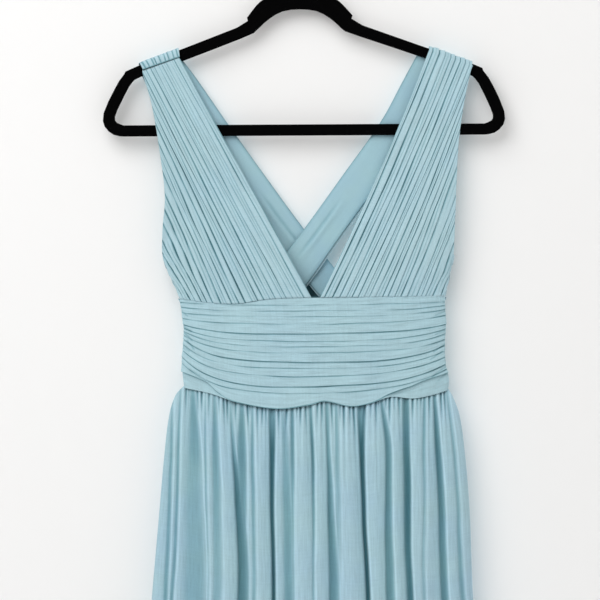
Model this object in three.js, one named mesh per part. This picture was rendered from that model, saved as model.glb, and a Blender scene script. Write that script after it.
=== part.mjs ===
// Sleeveless maxi dress with a pleated V neck, crossed back straps, a ruched waistband and a gathered
// skirt, hanging on a slim hanger.
// Millimetres, +Z up, the dress's front faces -Y and its wearer's right side lies towards -X.
// The origin is the seat of the hook: the point under the crook that rests on a rail.
import * as THREE from 'three';

// Cloth
const WALL = 1.6;
const STRAP_WALL = 1.2;
const LINING_WALL = 1.0;
const SEAM_GAP = 0.3;

// Hanger
const HANGER_THICKNESS = 5.2;
const HANGER_BEVEL = 1.2;
const HANGER_STEPS = 48;
const HANGER_EDGE = { x: 73.7, z: -120.5, fall: 0.3673 };
// The neck of the hanger sits a little off its middle, and its right arm a little higher
const HANGER_NECK = { reach: 70, shift: -4 };
const RIGHT_ARM_LIFT = 1.8;
const HOOK_WIRE = 3.4;
const HOOK_RADIUS = 20;
const HOOK_TIP_DEGREES = -35;
const HOOK_LEAVES_DEGREES = 215;

// Folds over the hanger: radius of the cloth's middle, and how far each end laps past the fold
const FRONT_FOLD_RADIUS = 4.1;
const STRAP_FOLD_RADIUS = 4.85;
const SHOULDER_LAP = 6;
const STRAP_LAP_SHARE = 0.12;
const FRONT_LAP_SHARE = 0.065;
const SEAM_RISE = 0.2;

// Dress
const HEM_Z = -1627;
const WAIST_DEPTH = 13.5;
const BUST_FULLNESS = 5;
const BODY_FILLS_BELOW = -245;
const SIDES_CLOSE_BELOW = -320;
const PLEAT_COUNT = 17;
const SHOULDER_PLEATS = 10;
const PLEAT_RELIEF = 1.1;
const PLEAT_ROOT = 0.1;
const PLEAT_EDGE = 0.85;
const ARMHOLE_PLEATED_SHARE = 0.9;
const STRAP_PLEATS = 9;
const STRAP_RELIEF = 0.8;
const TUCK_RELIEF = 1.2;
const GATHERS = 36;
const GATHER_RELIEF = 1.5;
const GATHERS_FADE_BY_DROP = 170;
const SKIRT_DROP = 1109;
const SKIRT_ROWS = [0, 0.01, 0.035, 0.08, 0.15, 0.27, 0.45, 0.64, 0.83, 1];
const BAND_COLUMNS = 24;
const TUCK_EDGE = 0.012;

const COLOURS = {
  cloth: 0xa3c8d3,
  lining: 0x97bdc8,
  velvet: 0x0b0b0c,
  steel: 0xc9ccd0
};

// Neck edges from the shoulder fold to the V point
const NECK_EDGES = {
  left: { top: { x: -138.2, z: -146 }, point: { x: 7.3, z: -418.8 }, bow: 0 },
  right: { top: { x: 139.1, z: -146 }, point: { x: 16.6, z: -418.8 }, bow: 4 }
};

// Armhole edges, from the shoulder down to the side seam
const ARMHOLES = {
  left: [
    { z: -168, x: -178.8 }, { z: -204, x: -168.7 }, { z: -256, x: -160.1 }, { z: -306, x: -154.6 },
    { z: -345, x: -157.5 }, { z: -376, x: -156.7 }, { z: -400, x: -145 }, { z: -422, x: -138.6 }
  ],
  right: [
    { z: -160, x: 187 }, { z: -198, x: 178.4 }, { z: -246, x: 171.3 }, { z: -301, x: 168 },
    { z: -350, x: 166.2 }, { z: -376, x: 164.4 }, { z: -396, x: 159 }, { z: -418, x: 155.5 }
  ]
};

// Back straps, from the shoulder to the waistband: both edges, and the depth of the strap's middle
const STRAPS = {
  left: [
    { at: 0, neckX: -138.4, neckZ: -149, armX: -182.8, armZ: -165, depth: 4.85 },
    { at: 0.12, neckX: -119, neckZ: -174.8, armX: -166, armZ: -198, depth: 4.85 },
    { at: 0.34, neckX: -83.6, neckZ: -226.4, armX: -120, armZ: -252, depth: 5.6 },
    { at: 0.56, neckX: -38.5, neckZ: -290, armX: -74, armZ: -314, depth: 9.4 },
    { at: 0.76, neckX: -1.1, neckZ: -341.7, armX: -36, armZ: -366, depth: 10.9 },
    { at: 0.9, neckX: 32.4, neckZ: -384.9, armX: -4, armZ: -395, depth: 13.1 },
    { at: 1, neckX: 60, neckZ: -418.6, armX: 16, armZ: -418.6, depth: 14.2 }
  ],
  right: [
    { at: 0, neckX: 131, neckZ: -153, armX: 182, armZ: -167.8, depth: 4.85 },
    { at: 0.12, neckX: 112.2, neckZ: -176, armX: 154, armZ: -204, depth: 4.85 },
    { at: 0.34, neckX: 84.2, neckZ: -225.4, armX: 121, armZ: -248, depth: 4.9 },
    { at: 0.56, neckX: 42, neckZ: -284, armX: 75, armZ: -306, depth: 5.2 },
    { at: 0.76, neckX: -1.6, neckZ: -343.7, armX: 36, armZ: -359, depth: 5.3 },
    { at: 0.9, neckX: -29, neckZ: -379, armX: 15, armZ: -389.3, depth: 6.6 },
    { at: 1, neckX: -56, neckZ: -418.6, armX: -7, armZ: -418.6, depth: 12.8 }
  ]
};

// Waistband sides, as a share of its height from the top seam down
const BAND_SIDES = [
  { at: 0, left: -138.8, right: 154.8 },
  { at: 0.3, left: -134.6, right: 155.8 },
  { at: 0.5, left: -134.8, right: 154.5 },
  { at: 0.7, left: -136.6, right: 155.1 },
  { at: 0.88, left: -135.4, right: 159 },
  { at: 1, left: -133.9, right: 157.4 }
];
const BAND_TOP = -419.2;

// Lower edges of the waistband: in front it dips in two scallops, behind it sags evenly
const BAND_HEM_FRONT = [
  { x: -134, z: -518 }, { x: -104, z: -524.5 }, { x: -74, z: -534.5 }, { x: -30, z: -541.4 },
  { x: 5, z: -537.2 }, { x: 20.4, z: -533.3 }, { x: 49, z: -539 }, { x: 69, z: -536.4 },
  { x: 93, z: -529 }, { x: 119, z: -530.8 }, { x: 141, z: -527 }, { x: 157, z: -522.3 }
];
const BAND_HEM_BACK = [
  { x: -134, z: -518 }, { x: -70, z: -530 }, { x: 12, z: -535 }, { x: 90, z: -531 }, { x: 157, z: -522.3 }
];

// Share of the waistband's height at each tuck's folded edge
const TUCKS = [0.07, 0.14, 0.215, 0.3, 0.37, 0.44, 0.515, 0.585, 0.66, 0.74, 0.815, 0.9];

// Skirt sections, by their drop below the waistband: side edges and half depth
const SKIRT_SECTIONS = [
  { drop: 0, left: -133.9, right: 157.4, depth: WAIST_DEPTH },
  { drop: 10, left: -143.5, right: 163.5, depth: 15.5 },
  { drop: 32, left: -151, right: 171, depth: 18 },
  { drop: 78, left: -157, right: 177, depth: 21 },
  { drop: 137, left: -162.5, right: 181.4, depth: 24 },
  { drop: 235, left: -171.6, right: 184.8, depth: 28 },
  { drop: 480, left: -192, right: 203, depth: 34 },
  { drop: 780, left: -217, right: 226, depth: 41 },
  { drop: 1109, left: -240, right: 247, depth: 47 }
];

// The skirt's falling folds. Each row is a valley: its place along x at the waist seam, 230 mm below it
// and at the hem, its depth at the last two, and its half width at the hem.
const FRONT_VALLEYS = [
  { waist: -128, mid: -157, hem: -214, midDepth: 2.5, hemDepth: 9, width: 12 },
  { waist: -104, mid: -126, hem: -172, midDepth: 3, hemDepth: 9, width: 13 },
  { waist: -88, mid: -108, hem: -139, midDepth: 3, hemDepth: 8, width: 11 },
  { waist: -62, mid: -73, hem: -98, midDepth: 7, hemDepth: 16, width: 15 },
  { waist: -36, mid: -38, hem: -57, midDepth: 6, hemDepth: 13, width: 10 },
  { waist: -18, mid: -22, hem: -24, midDepth: 2.5, hemDepth: 8, width: 10 },
  { waist: 8, mid: 8, hem: 9, midDepth: 4, hemDepth: 13, width: 13 },
  { waist: 28, mid: 29, hem: 44, midDepth: 3, hemDepth: 8, width: 10 },
  { waist: 57, mid: 67, hem: 86, midDepth: 8, hemDepth: 17, width: 14 },
  { waist: 82, mid: 90, hem: 121, midDepth: 3, hemDepth: 8, width: 10 },
  { waist: 107, mid: 112, hem: 160, midDepth: 6, hemDepth: 14, width: 14 },
  { waist: 138, mid: 150, hem: 205, midDepth: 3.5, hemDepth: 10, width: 13 }
];
const BACK_VALLEYS = [
  { waist: -120, mid: -146, hem: -203, midDepth: 3, hemDepth: 10, width: 13 },
  { waist: -97, mid: -113, hem: -158, midDepth: 4, hemDepth: 12, width: 13 },
  { waist: -70, mid: -84, hem: -112, midDepth: 3, hemDepth: 9, width: 11 },
  { waist: -44, mid: -49, hem: -70, midDepth: 7, hemDepth: 16, width: 14 },
  { waist: -14, mid: -15, hem: -28, midDepth: 3, hemDepth: 9, width: 11 },
  { waist: 12, mid: 16, hem: 14, midDepth: 5, hemDepth: 13, width: 13 },
  { waist: 41, mid: 47, hem: 60, midDepth: 3, hemDepth: 9, width: 12 },
  { waist: 68, mid: 78, hem: 105, midDepth: 7, hemDepth: 16, width: 15 },
  { waist: 98, mid: 108, hem: 150, midDepth: 3, hemDepth: 10, width: 12 },
  { waist: 127, mid: 142, hem: 198, midDepth: 4, hemDepth: 11, width: 14 }
];
const VALLEY_MID_DROP = 230;

// Half of the hanger's outline and of its opening, from the middle of the top round to the bar
const HANGER_OUTLINE = [
  { x: 0, z: -77.6 }, { x: 20, z: -79.6 }, { x: 38, z: -86.5 }, { x: 48.5, z: -95 }, { x: 58.5, z: -108 },
  { x: 69.5, z: -119 }, { x: 183.7, z: -160.9 }, { x: 199, z: -170 },
  { x: 210, z: -187 }, { x: 222, z: -213 }, { x: 221, z: -228 }, { x: 211, z: -237 }, { x: 200, z: -239 }
];
const HANGER_HOLE = [
  { x: 0, z: -99 }, { x: 20, z: -101.5 }, { x: 36, z: -111 }, { x: 47.5, z: -121.5 }, { x: 59, z: -128.6 },
  { x: 131.6, z: -154.8 }, { x: 180, z: -172.5 }, { x: 191, z: -180 }, { x: 199, z: -194 },
  { x: 209, z: -215 }, { x: 208, z: -223 }, { x: 200, z: -226.7 }
];

const mix = THREE.MathUtils.lerp;
const { clamp, smoothstep } = THREE.MathUtils;

function shares(count) {
  return Array.from({ length: count + 1 }, (_, i) => i / count);
}

// Smooth reading of one column of a table at a place along its key column
function read(table, key, column, place) {
  const way = Math.sign(table[table.length - 1][key] - table[0][key]);
  const last = table.length - 1;
  let i = 0;
  while (i < last - 1 && (place - table[i + 1][key]) * way > 0) i += 1;
  const slope = (a, b) => (table[b][column] - table[a][column]) / (table[b][key] - table[a][key]);
  const from = slope(Math.max(i - 1, 0), i + 1);
  const to = slope(i, Math.min(i + 2, last));
  const step = table[i + 1][key] - table[i][key];
  const t = clamp((place - table[i][key]) / step, 0, 1);
  const eased = t * t * (3 - 2 * t);
  return mix(table[i][column], table[i + 1][column], eased)
    + step * (t * (1 - t) * (1 - t) * from - t * t * (1 - t) * to);
}

// A closed wall between two grids of points with the same edges, rows[i][j]. A grid's notch is where
// its upper rows stop short: above row notch.row it reaches only to column notch.column.
function wallBetween(outer, inner, notches) {
  const vertices = [];
  const triangles = [];
  const number = (grid) => grid.map((row) => row.map((point) => {
    vertices.push(point.x, point.y, point.z);
    return vertices.length / 3 - 1;
  }));
  const outerIds = number(outer);
  const innerIds = number(inner);
  const at = (id) => new THREE.Vector3().fromArray(vertices, id * 3);

  const cover = (ids, notch, turned) => {
    for (let i = 0; i + 1 < ids.length; i += 1) {
      const columns = i < notch.row ? notch.column : ids[0].length - 1;
      for (let j = 0; j < columns; j += 1) {
        const [a, b, c, d] = [ids[i][j], ids[i][j + 1], ids[i + 1][j + 1], ids[i + 1][j]];
        const shortAC = at(a).distanceTo(at(c)) < at(b).distanceTo(at(d));
        const pair = shortAC ? [[a, b, c], [a, c, d]] : [[a, b, d], [b, c, d]];
        pair.forEach((t) => triangles.push(...(turned ? [t[0], t[2], t[1]] : t)));
      }
    }
  };
  const rim = (ids, { row, column }) => {
    const lastColumn = ids[0].length - 1;
    const upper = row > 0
      ? [ids[0].slice(0, column + 1), ids.slice(0, row + 1).map((ends) => ends[column]), ids[row].slice(column)]
      : [ids[0].slice()];
    return [
      ...upper,
      ids.slice(row).map((ends) => ends[lastColumn]),
      ids[ids.length - 1].slice().reverse(),
      ids.map((ends) => ends[0]).reverse()
    ];
  };
  const lengths = (side) => {
    const total = [0];
    for (let i = 1; i < side.length; i += 1) total.push(total[i - 1] + at(side[i]).distanceTo(at(side[i - 1])));
    return total.map((length) => length / total[total.length - 1]);
  };

  cover(outerIds, notches.outer, false);
  cover(innerIds, notches.inner, true);
  const innerRim = rim(innerIds, notches.inner);
  rim(outerIds, notches.outer).forEach((side, index) => {
    const other = innerRim[index];
    const [here, there] = [lengths(side), lengths(other)];
    let i = 0;
    let j = 0;
    while (i + 1 < side.length || j + 1 < other.length) {
      const stepHere = j + 1 >= other.length || (i + 1 < side.length && here[i + 1] <= there[j + 1]);
      if (stepHere) {
        triangles.push(side[i + 1], side[i], other[j]);
        i += 1;
      } else {
        triangles.push(side[i], other[j], other[j + 1]);
        j += 1;
      }
    }
  });

  let volume = 0;
  for (let i = 0; i < triangles.length; i += 3) {
    volume += at(triangles[i]).dot(at(triangles[i + 1]).cross(at(triangles[i + 2])));
  }
  if (volume < 0) {
    for (let i = 0; i < triangles.length; i += 3) {
      [triangles[i + 1], triangles[i + 2]] = [triangles[i + 2], triangles[i + 1]];
    }
  }
  const geometry = new THREE.BufferGeometry();
  geometry.setAttribute('position', new THREE.Float32BufferAttribute(vertices, 3));
  geometry.setIndex(triangles);
  return geometry;
}

// A wall on a surface of two shares: plain inside, raised outside by the relief.
// face is 1 where the surface's normal, across by down, is the outside, and -1 where it is the inside.
// Above the share notch.down the wall reaches only to the share notch.across.
// stand moves the whole wall outwards off the surface. A level wall is thickened sideways only, so
// that its upper and lower edges keep their height and its side edges meet the other half squarely.
function clothWall({
  surface, across, down, innerAcross, innerDown, wall, relief, face, notch, stand = 0, level = false
}) {
  const reach = 0.002;
  const grid = (columns, rows, offset) => rows.map((v) => columns.map((u) => {
    const point = surface(u, v);
    const sideways = surface(Math.min(u + reach, 1), v).sub(surface(Math.max(u - reach, 0), v));
    const downwards = surface(u, Math.min(v + reach, 1)).sub(surface(u, Math.max(v - reach, 0)));
    const normal = downwards.cross(sideways);
    if (level) normal.z = 0;
    normal.normalize().multiplyScalar(face);
    if (level && (u === 0 || u === 1)) normal.set(u === 0 ? -1 : 1, 0, 0);
    return point.addScaledVector(normal, offset(u, v));
  }));
  const notchIn = (columns, rows) => (notch
    ? { row: rows.indexOf(notch.down), column: columns.indexOf(notch.across) }
    : { row: 0, column: columns.length - 1 });
  return wallBetween(
    grid(across, down, (u, v) => stand + wall / 2 + relief(u, v)),
    grid(innerAcross, innerDown, () => stand - wall / 2),
    { outer: notchIn(across, down), inner: notchIn(innerAcross, innerDown) }
  );
}

// Level of the hanger arm's upper edge
function armTop(x) {
  const lift = x > 0 ? RIGHT_ARM_LIFT : 0;
  return HANGER_EDGE.z + lift - HANGER_EDGE.fall * (Math.abs(x) - HANGER_EDGE.x);
}

// Level of the middle of a fold over the arm
function armCentre(x) {
  return armTop(x) - HANGER_THICKNESS / 2;
}

// Lays a flat pattern point over the hanger arm. Below the arm's top the cloth hangs on its own side
// (-1 in front, 1 behind); above it the pattern turns over the arm and runs down the other side.
function overArm(x, patternZ, side, radius) {
  const centre = armCentre(x);
  const above = patternZ - centre;
  const turn = Math.PI * radius;
  if (above <= 0) return new THREE.Vector3(x, side * radius, patternZ);
  if (above >= turn) return new THREE.Vector3(x, -side * radius, centre - (above - turn));
  const angle = above / radius;
  return new THREE.Vector3(x, side * radius * Math.cos(angle), centre + radius * Math.sin(angle));
}

// Half depth of the flattened body at a place across it
function waistDepthAt(x, left, right, depth) {
  const across = clamp((2 * x - left - right) / (right - left), -1, 1);
  return SEAM_GAP / 2 + depth * Math.sqrt(1 - across * across);
}

function bodyDepth(x, z) {
  const left = read(ARMHOLES.left, 'z', 'x', z);
  const right = read(ARMHOLES.right, 'z', 'x', z);
  const bust = BUST_FULLNESS * Math.sin(Math.PI * smoothstep(z, BAND_TOP, -180));
  return waistDepthAt(x, left, right, WAIST_DEPTH + bust);
}

// Pleated half of the front. Pleat lines run from the shoulder, and further out from the armhole,
// down to the waist seam. The right half laps over the arm to its seam behind.
function bodiceFront(side) {
  const neck = NECK_EDGES[side];
  const armhole = ARMHOLES[side];
  const lapShare = side === 'right' ? FRONT_LAP_SHARE : 0;
  const shoulderShare = SHOULDER_PLEATS / PLEAT_COUNT;
  const seamZ = BAND_TOP + SEAM_GAP + SEAM_RISE;
  const shoulderX = (share) => mix(neck.top.x, armhole[0].x, share);
  const shoulderZ = (x) => (lapShare > 0 ? armCentre(x) : armCentre(x) - SHOULDER_LAP);
  const armholeTop = shoulderZ(armhole[0].x);
  const armholeEnd = mix(armholeTop, seamZ, ARMHOLE_PLEATED_SHARE);

  const start = (u) => {
    if (u <= shoulderShare) {
      const x = shoulderX(u / shoulderShare);
      return { x, z: shoulderZ(x) };
    }
    const z = mix(armholeTop, armholeEnd, (u - shoulderShare) / (1 - shoulderShare));
    return { x: read(armhole, 'z', 'x', z), z };
  };
  const surface = (u, v) => {
    const from = start(u);
    if (v < lapShare) {
      const behind = from.z + Math.PI * FRONT_FOLD_RADIUS + SHOULDER_LAP;
      return overArm(from.x, mix(behind, from.z, v / lapShare), -1, FRONT_FOLD_RADIUS);
    }
    const t = (v - lapShare) / (1 - lapShare);
    const endX = mix(neck.point.x, armhole[armhole.length - 1].x, u);
    const x = mix(from.x, endX, t) + neck.bow * Math.sin(Math.PI * t) * (1 - u);
    const z = mix(from.z, seamZ, t);
    const point = overArm(x, z, -1, FRONT_FOLD_RADIUS);
    const filled = bodyDepth(x, z) * smoothstep(-z, -BODY_FILLS_BELOW, -BAND_TOP);
    const flat = FRONT_FOLD_RADIUS * (1 - smoothstep(-z, -SIDES_CLOSE_BELOW, -BAND_TOP));
    if (z < BODY_FILLS_BELOW) point.y = -Math.max(filled, flat);
    return point;
  };

  const across = [0];
  for (let k = 0; k < PLEAT_COUNT; k += 1) {
    if (k === SHOULDER_PLEATS) across.push(shoulderShare);
    across.push((k + PLEAT_ROOT) / PLEAT_COUNT, (k + PLEAT_EDGE) / PLEAT_COUNT);
  }
  across.push(1);
  const relief = (u, v) => {
    const phase = (u * PLEAT_COUNT) % 1;
    const isEdge = Math.abs(phase - PLEAT_EDGE) < 0.01;
    return isEdge ? PLEAT_RELIEF * mix(0.6, 1, smoothstep(v, 0, 0.5)) : 0;
  };
  const lapRows = lapShare > 0 ? [0, 0.3, 0.44, 0.58, 0.72, 0.86].map((share) => share * lapShare) : [];
  const frontRows = [0, 0.1, 0.2, 0.31, 0.42, 0.53, 0.64, 0.76, 0.88, 1].map((t) => mix(lapShare, 1, t));
  const down = [...lapRows, ...frontRows];
  const innerAcross = across.filter((u, i) => i % 3 === 0 || u === shoulderShare || u === 1);
  return clothWall({
    surface, across, down, innerAcross, innerDown: down, wall: WALL, relief,
    face: side === 'right' ? 1 : -1,
    notch: lapShare > 0 ? { down: lapShare, across: shoulderShare } : null
  });
}

// Middle surface of a back strap. The left one laps over the arm to its seam in front; the right one
// starts behind the arm, under the end of the bodice front.
function strapSurface(side) {
  const rows = STRAPS[side];
  const lapShare = side === 'left' ? STRAP_LAP_SHARE : 0;
  const turn = Math.PI * STRAP_FOLD_RADIUS;
  return (u, v) => {
    const along = clamp((v - lapShare) / (1 - lapShare), 0, 1);
    const edge = (name) => mix(read(rows, 'at', `arm${name}`, along), read(rows, 'at', `neck${name}`, along), u);
    const x = edge('X');
    const flatZ = edge('Z');
    if (v < lapShare) {
      const frontEnd = armCentre(x) + turn + SHOULDER_LAP - SEAM_GAP;
      return overArm(x, mix(frontEnd, flatZ, v / lapShare), 1, STRAP_FOLD_RADIUS);
    }
    const point = overArm(x, flatZ, 1, STRAP_FOLD_RADIUS);
    const landing = smoothstep(-flatZ, -BAND_TOP - 12, -BAND_TOP);
    const seat = waistDepthAt(x, BAND_SIDES[0].left, BAND_SIDES[0].right, WAIST_DEPTH);
    point.y = mix(Math.max(point.y, read(rows, 'at', 'depth', along)), seat, landing);
    return point;
  };
}

const STRAP_ROWS = [0.19, 0.27, 0.36, 0.46, 0.56, 0.66, 0.76, 0.86, 0.94, 1];
const STRAP_LAP_ROWS = [0, 0.02, 0.035, 0.045, 0.055, 0.065, 0.075, 0.09, STRAP_LAP_SHARE];
const STRAP_INNER_COLUMNS = 3;

function backStrap(side) {
  const down = [...(side === 'left' ? STRAP_LAP_ROWS : [0]), ...STRAP_ROWS];
  return clothWall({
    surface: strapSurface(side),
    across: shares(STRAP_PLEATS * 2), down, innerAcross: shares(STRAP_INNER_COLUMNS), innerDown: down,
    wall: STRAP_WALL,
    relief: (u) => STRAP_RELIEF * Math.abs(Math.sin(Math.PI * u * STRAP_PLEATS)),
    face: side === 'left' ? -1 : 1
  });
}

// Plain lining on the strap's inner face, from just behind the arm down to the waistband
function strapLining(side) {
  const top = side === 'left' ? STRAP_LAP_SHARE : 0;
  const down = [top, ...STRAP_ROWS];
  const across = shares(STRAP_INNER_COLUMNS);
  return clothWall({
    surface: strapSurface(side), across, down, innerAcross: across, innerDown: down,
    wall: LINING_WALL, relief: () => 0, face: side === 'left' ? -1 : 1,
    stand: -(STRAP_WALL / 2 + SEAM_GAP + LINING_WALL / 2)
  });
}

// Columns round half a flattened tube, from side seam to side seam
function columnsRound(count) {
  return shares(count).map((share) => mix(share, (1 - Math.cos(Math.PI * share)) / 2, -0.35));
}

// Level of the seam between waistband and skirt, straight from column to column of the waistband
function seamLevel(u, lowerEdge) {
  const columns = columnsRound(BAND_COLUMNS);
  const middle = (BAND_HEM_FRONT[0].x + BAND_HEM_FRONT[BAND_HEM_FRONT.length - 1].x) / 2;
  const reach = BAND_HEM_FRONT[BAND_HEM_FRONT.length - 1].x - middle;
  const level = (share) => read(lowerEdge, 'x', 'z', middle - reach * Math.cos(Math.PI * share));
  const next = Math.max(1, columns.findIndex((share) => share >= u));
  const share = (u - columns[next - 1]) / (columns[next] - columns[next - 1]);
  return mix(level(columns[next - 1]), level(columns[next]), clamp(share, 0, 1));
}

// Ruched waist panel: tucks raised across it, closest together at the side seams
function waistband(facing, lowerEdge) {
  const surface = (u, v) => {
    const left = read(BAND_SIDES, 'at', 'left', v);
    const right = read(BAND_SIDES, 'at', 'right', v);
    const angle = Math.PI * u;
    const x = (left + right) / 2 - (right - left) / 2 * Math.cos(angle);
    const z = mix(BAND_TOP, seamLevel(u, lowerEdge), v);
    return new THREE.Vector3(x, facing * (SEAM_GAP / 2 + WAIST_DEPTH * Math.sin(angle)), z);
  };
  const across = columnsRound(BAND_COLUMNS);
  const down = [0];
  TUCKS.forEach((share) => down.push(share - TUCK_EDGE, share + TUCK_EDGE));
  down.push(1);
  const isFoldEdge = (v) => v === 1 || TUCKS.some((share) => Math.abs(share - TUCK_EDGE - v) < 0.001);
  const relief = (u, v) => (isFoldEdge(v) ? TUCK_RELIEF * smoothstep(Math.sin(Math.PI * u), 0, 0.25) : 0);
  return clothWall({
    surface, across, down, wall: WALL, relief,
    innerAcross: across, innerDown: shares(5), face: -facing, level: true
  });
}

// How far the falling folds sink into the panel at a place across it and a drop below the seam
function valleyDepth(x, drop, valleys) {
  const toMid = clamp(drop / VALLEY_MID_DROP, 0, 1);
  const toHem = clamp((drop - VALLEY_MID_DROP) / (SKIRT_DROP - VALLEY_MID_DROP), 0, 1);
  return valleys.reduce((sum, row) => {
    const centre = mix(mix(row.waist, row.mid, toMid), row.hem, toHem);
    const depth = mix(row.midDepth * smoothstep(toMid, 0, 1), row.hemDepth, toHem);
    const width = row.width * mix(0.6, 1, toHem);
    return sum + depth * Math.exp(-(((x - centre) / width) ** 2));
  }, 0);
}

// Gathered skirt panel: fine gathers under the waistband run out into the large falling folds
function skirtPanel(facing, lowerEdge, valleys) {
  const surface = (u, v) => {
    const seamZ = seamLevel(u, lowerEdge) - SEAM_GAP;
    const z = mix(seamZ, HEM_Z, v);
    const drop = SKIRT_DROP * v;
    const left = read(SKIRT_SECTIONS, 'drop', 'left', drop);
    const right = read(SKIRT_SECTIONS, 'drop', 'right', drop);
    const depth = read(SKIRT_SECTIONS, 'drop', 'depth', drop);
    const angle = Math.PI * u;
    const x = (left + right) / 2 - (right - left) / 2 * Math.cos(angle);
    const fold = valleyDepth(x, drop, valleys) * smoothstep(Math.sin(angle), 0, 0.35);
    return new THREE.Vector3(x, facing * (SEAM_GAP / 2 + depth * Math.sin(angle) - fold), z);
  };
  const across = columnsRound(GATHERS * 2);
  const down = SKIRT_ROWS;
  const relief = (u, v) => {
    if (across.indexOf(u) % 2 === 0) return 0;
    const fade = 1 - smoothstep(SKIRT_DROP * v, 20, GATHERS_FADE_BY_DROP);
    return GATHER_RELIEF * fade * smoothstep(Math.sin(Math.PI * u), 0, 0.2);
  };
  return clothWall({
    surface, across, down, wall: WALL, relief, innerAcross: across, innerDown: down, face: -facing, level: true
  });
}

// Moulded hanger: one smooth loop with its cross bar
function hangerFrame() {
  // From the right end of the bar over the top to its left end; the bar's straight edge closes the loop
  const shift = (x) => (x < HANGER_NECK.reach ? HANGER_NECK.shift : 0);
  const lift = (x, z) => (x > HANGER_NECK.reach - 12 && z > -200 ? RIGHT_ARM_LIFT : 0);
  const loop = (half) => {
    const right = half.map(({ x, z }) => new THREE.Vector2(x + shift(x), z + lift(x, z))).reverse();
    const left = half.slice(1).map(({ x, z }) => new THREE.Vector2(-x + shift(x), z));
    return new THREE.SplineCurve([...right, ...left]).getPoints(HANGER_STEPS);
  };
  const shape = new THREE.Shape(loop(HANGER_OUTLINE));
  shape.holes.push(new THREE.Path(loop(HANGER_HOLE)));
  const geometry = new THREE.ExtrudeGeometry(shape, {
    depth: HANGER_THICKNESS - 2 * HANGER_BEVEL,
    bevelThickness: HANGER_BEVEL,
    bevelSize: HANGER_BEVEL,
    bevelOffset: -HANGER_BEVEL,
    bevelSegments: 1
  });
  geometry.rotateX(Math.PI / 2);
  geometry.translate(0, HANGER_THICKNESS / 2 - HANGER_BEVEL, 0);
  return geometry;
}

// Wire hook: a straight neck that swings out and round the rail
function hangerHook() {
  const radius = HOOK_RADIUS + HOOK_WIRE / 2;
  const neckZ = HANGER_OUTLINE[0].z + SEAM_GAP;
  const points = [new THREE.Vector3(0, 0, neckZ), new THREE.Vector3(0, 0, neckZ + 12)];
  const steps = 12;
  for (let i = 0; i <= steps; i += 1) {
    const angle = THREE.MathUtils.degToRad(mix(HOOK_LEAVES_DEGREES, HOOK_TIP_DEGREES, i / steps));
    points.push(new THREE.Vector3(radius * Math.cos(angle), 0, -HOOK_RADIUS + radius * Math.sin(angle)));
  }
  const sides = 8;
  const wire = new THREE.Shape(shares(sides).slice(0, sides).map((share) => {
    const angle = 2 * Math.PI * share;
    return new THREE.Vector2(HOOK_WIRE / 2 * Math.cos(angle), HOOK_WIRE / 2 * Math.sin(angle));
  }));
  return new THREE.ExtrudeGeometry(wire, {
    steps: 36,
    bevelEnabled: false,
    extrudePath: new THREE.CatmullRomCurve3(points)
  });
}

const dress = new THREE.Group();

function add(name, geometry, color, roughness, metalness = 0) {
  const mesh = new THREE.Mesh(geometry, new THREE.MeshStandardMaterial({ color, roughness, metalness }));
  mesh.name = name;
  dress.add(mesh);
}

['left', 'right'].forEach((side) => {
  add(`bodice_front_${side}`, bodiceFront(side), COLOURS.cloth, 0.8);
  add(`back_strap_${side}`, backStrap(side), COLOURS.cloth, 0.8);
  add(`back_strap_lining_${side}`, strapLining(side), COLOURS.lining, 0.7);
});
add('waistband_front', waistband(-1, BAND_HEM_FRONT), COLOURS.cloth, 0.8);
add('waistband_back', waistband(1, BAND_HEM_BACK), COLOURS.cloth, 0.8);
add('skirt_front', skirtPanel(-1, BAND_HEM_FRONT, FRONT_VALLEYS), COLOURS.cloth, 0.8);
add('skirt_back', skirtPanel(1, BAND_HEM_BACK, BACK_VALLEYS), COLOURS.cloth, 0.8);
add('hanger_frame', hangerFrame(), COLOURS.velvet, 0.95);
add('hanger_hook', hangerHook(), COLOURS.steel, 0.25, 1);

export default dress;
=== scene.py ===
"""Sleeveless maxi dress: pleated V neck, crossed back straps, ruched waistband, gathered skirt.

The dress hangs on a slim flocked hanger. Tables are in millimetres and meshes in metres. +Z is up, the
dress's front faces -Y, the viewer's left is -X, and the origin is the seat of the hanger's hook.
"""

import logging
import math
from dataclasses import dataclass, field
from enum import Enum
from typing import Optional, Sequence

import bpy
import numpy as np
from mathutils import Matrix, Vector


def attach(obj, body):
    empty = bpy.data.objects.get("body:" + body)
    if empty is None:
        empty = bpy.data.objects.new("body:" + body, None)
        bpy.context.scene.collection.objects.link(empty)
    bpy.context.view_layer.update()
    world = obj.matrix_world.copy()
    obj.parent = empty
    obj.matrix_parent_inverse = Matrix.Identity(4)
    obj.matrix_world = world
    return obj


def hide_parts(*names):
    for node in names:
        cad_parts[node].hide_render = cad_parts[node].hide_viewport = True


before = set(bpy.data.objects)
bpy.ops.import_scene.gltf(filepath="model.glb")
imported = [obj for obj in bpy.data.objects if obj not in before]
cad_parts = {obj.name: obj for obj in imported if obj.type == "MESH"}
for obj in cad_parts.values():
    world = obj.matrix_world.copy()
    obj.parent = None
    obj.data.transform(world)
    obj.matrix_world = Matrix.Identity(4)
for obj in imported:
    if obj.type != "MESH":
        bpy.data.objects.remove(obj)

LOG = logging.getLogger("maxi_dress")
MM = 0.001
SEAM_GAP = 0.3
WAIST_DEPTH = 13.5
HEM_Z = -1627.0
BAND_TOP = -419.2
BAND_MIDDLE_X = 8.0
BAND_REACH = 147.0
BAND_HALF_WIDTH = 145.0
WAIST_LEFT_X = -138.8
WAIST_RIGHT_X = 154.8
TUCKS_LEFT_X = -134.6
TUCKS_RIGHT_X = 155.9
BUST_FULLNESS = 5.0
BUST_TOP = -180.0
SHOULDERS_END = -245.0
SKIRT_DROP = 1109.0
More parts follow.
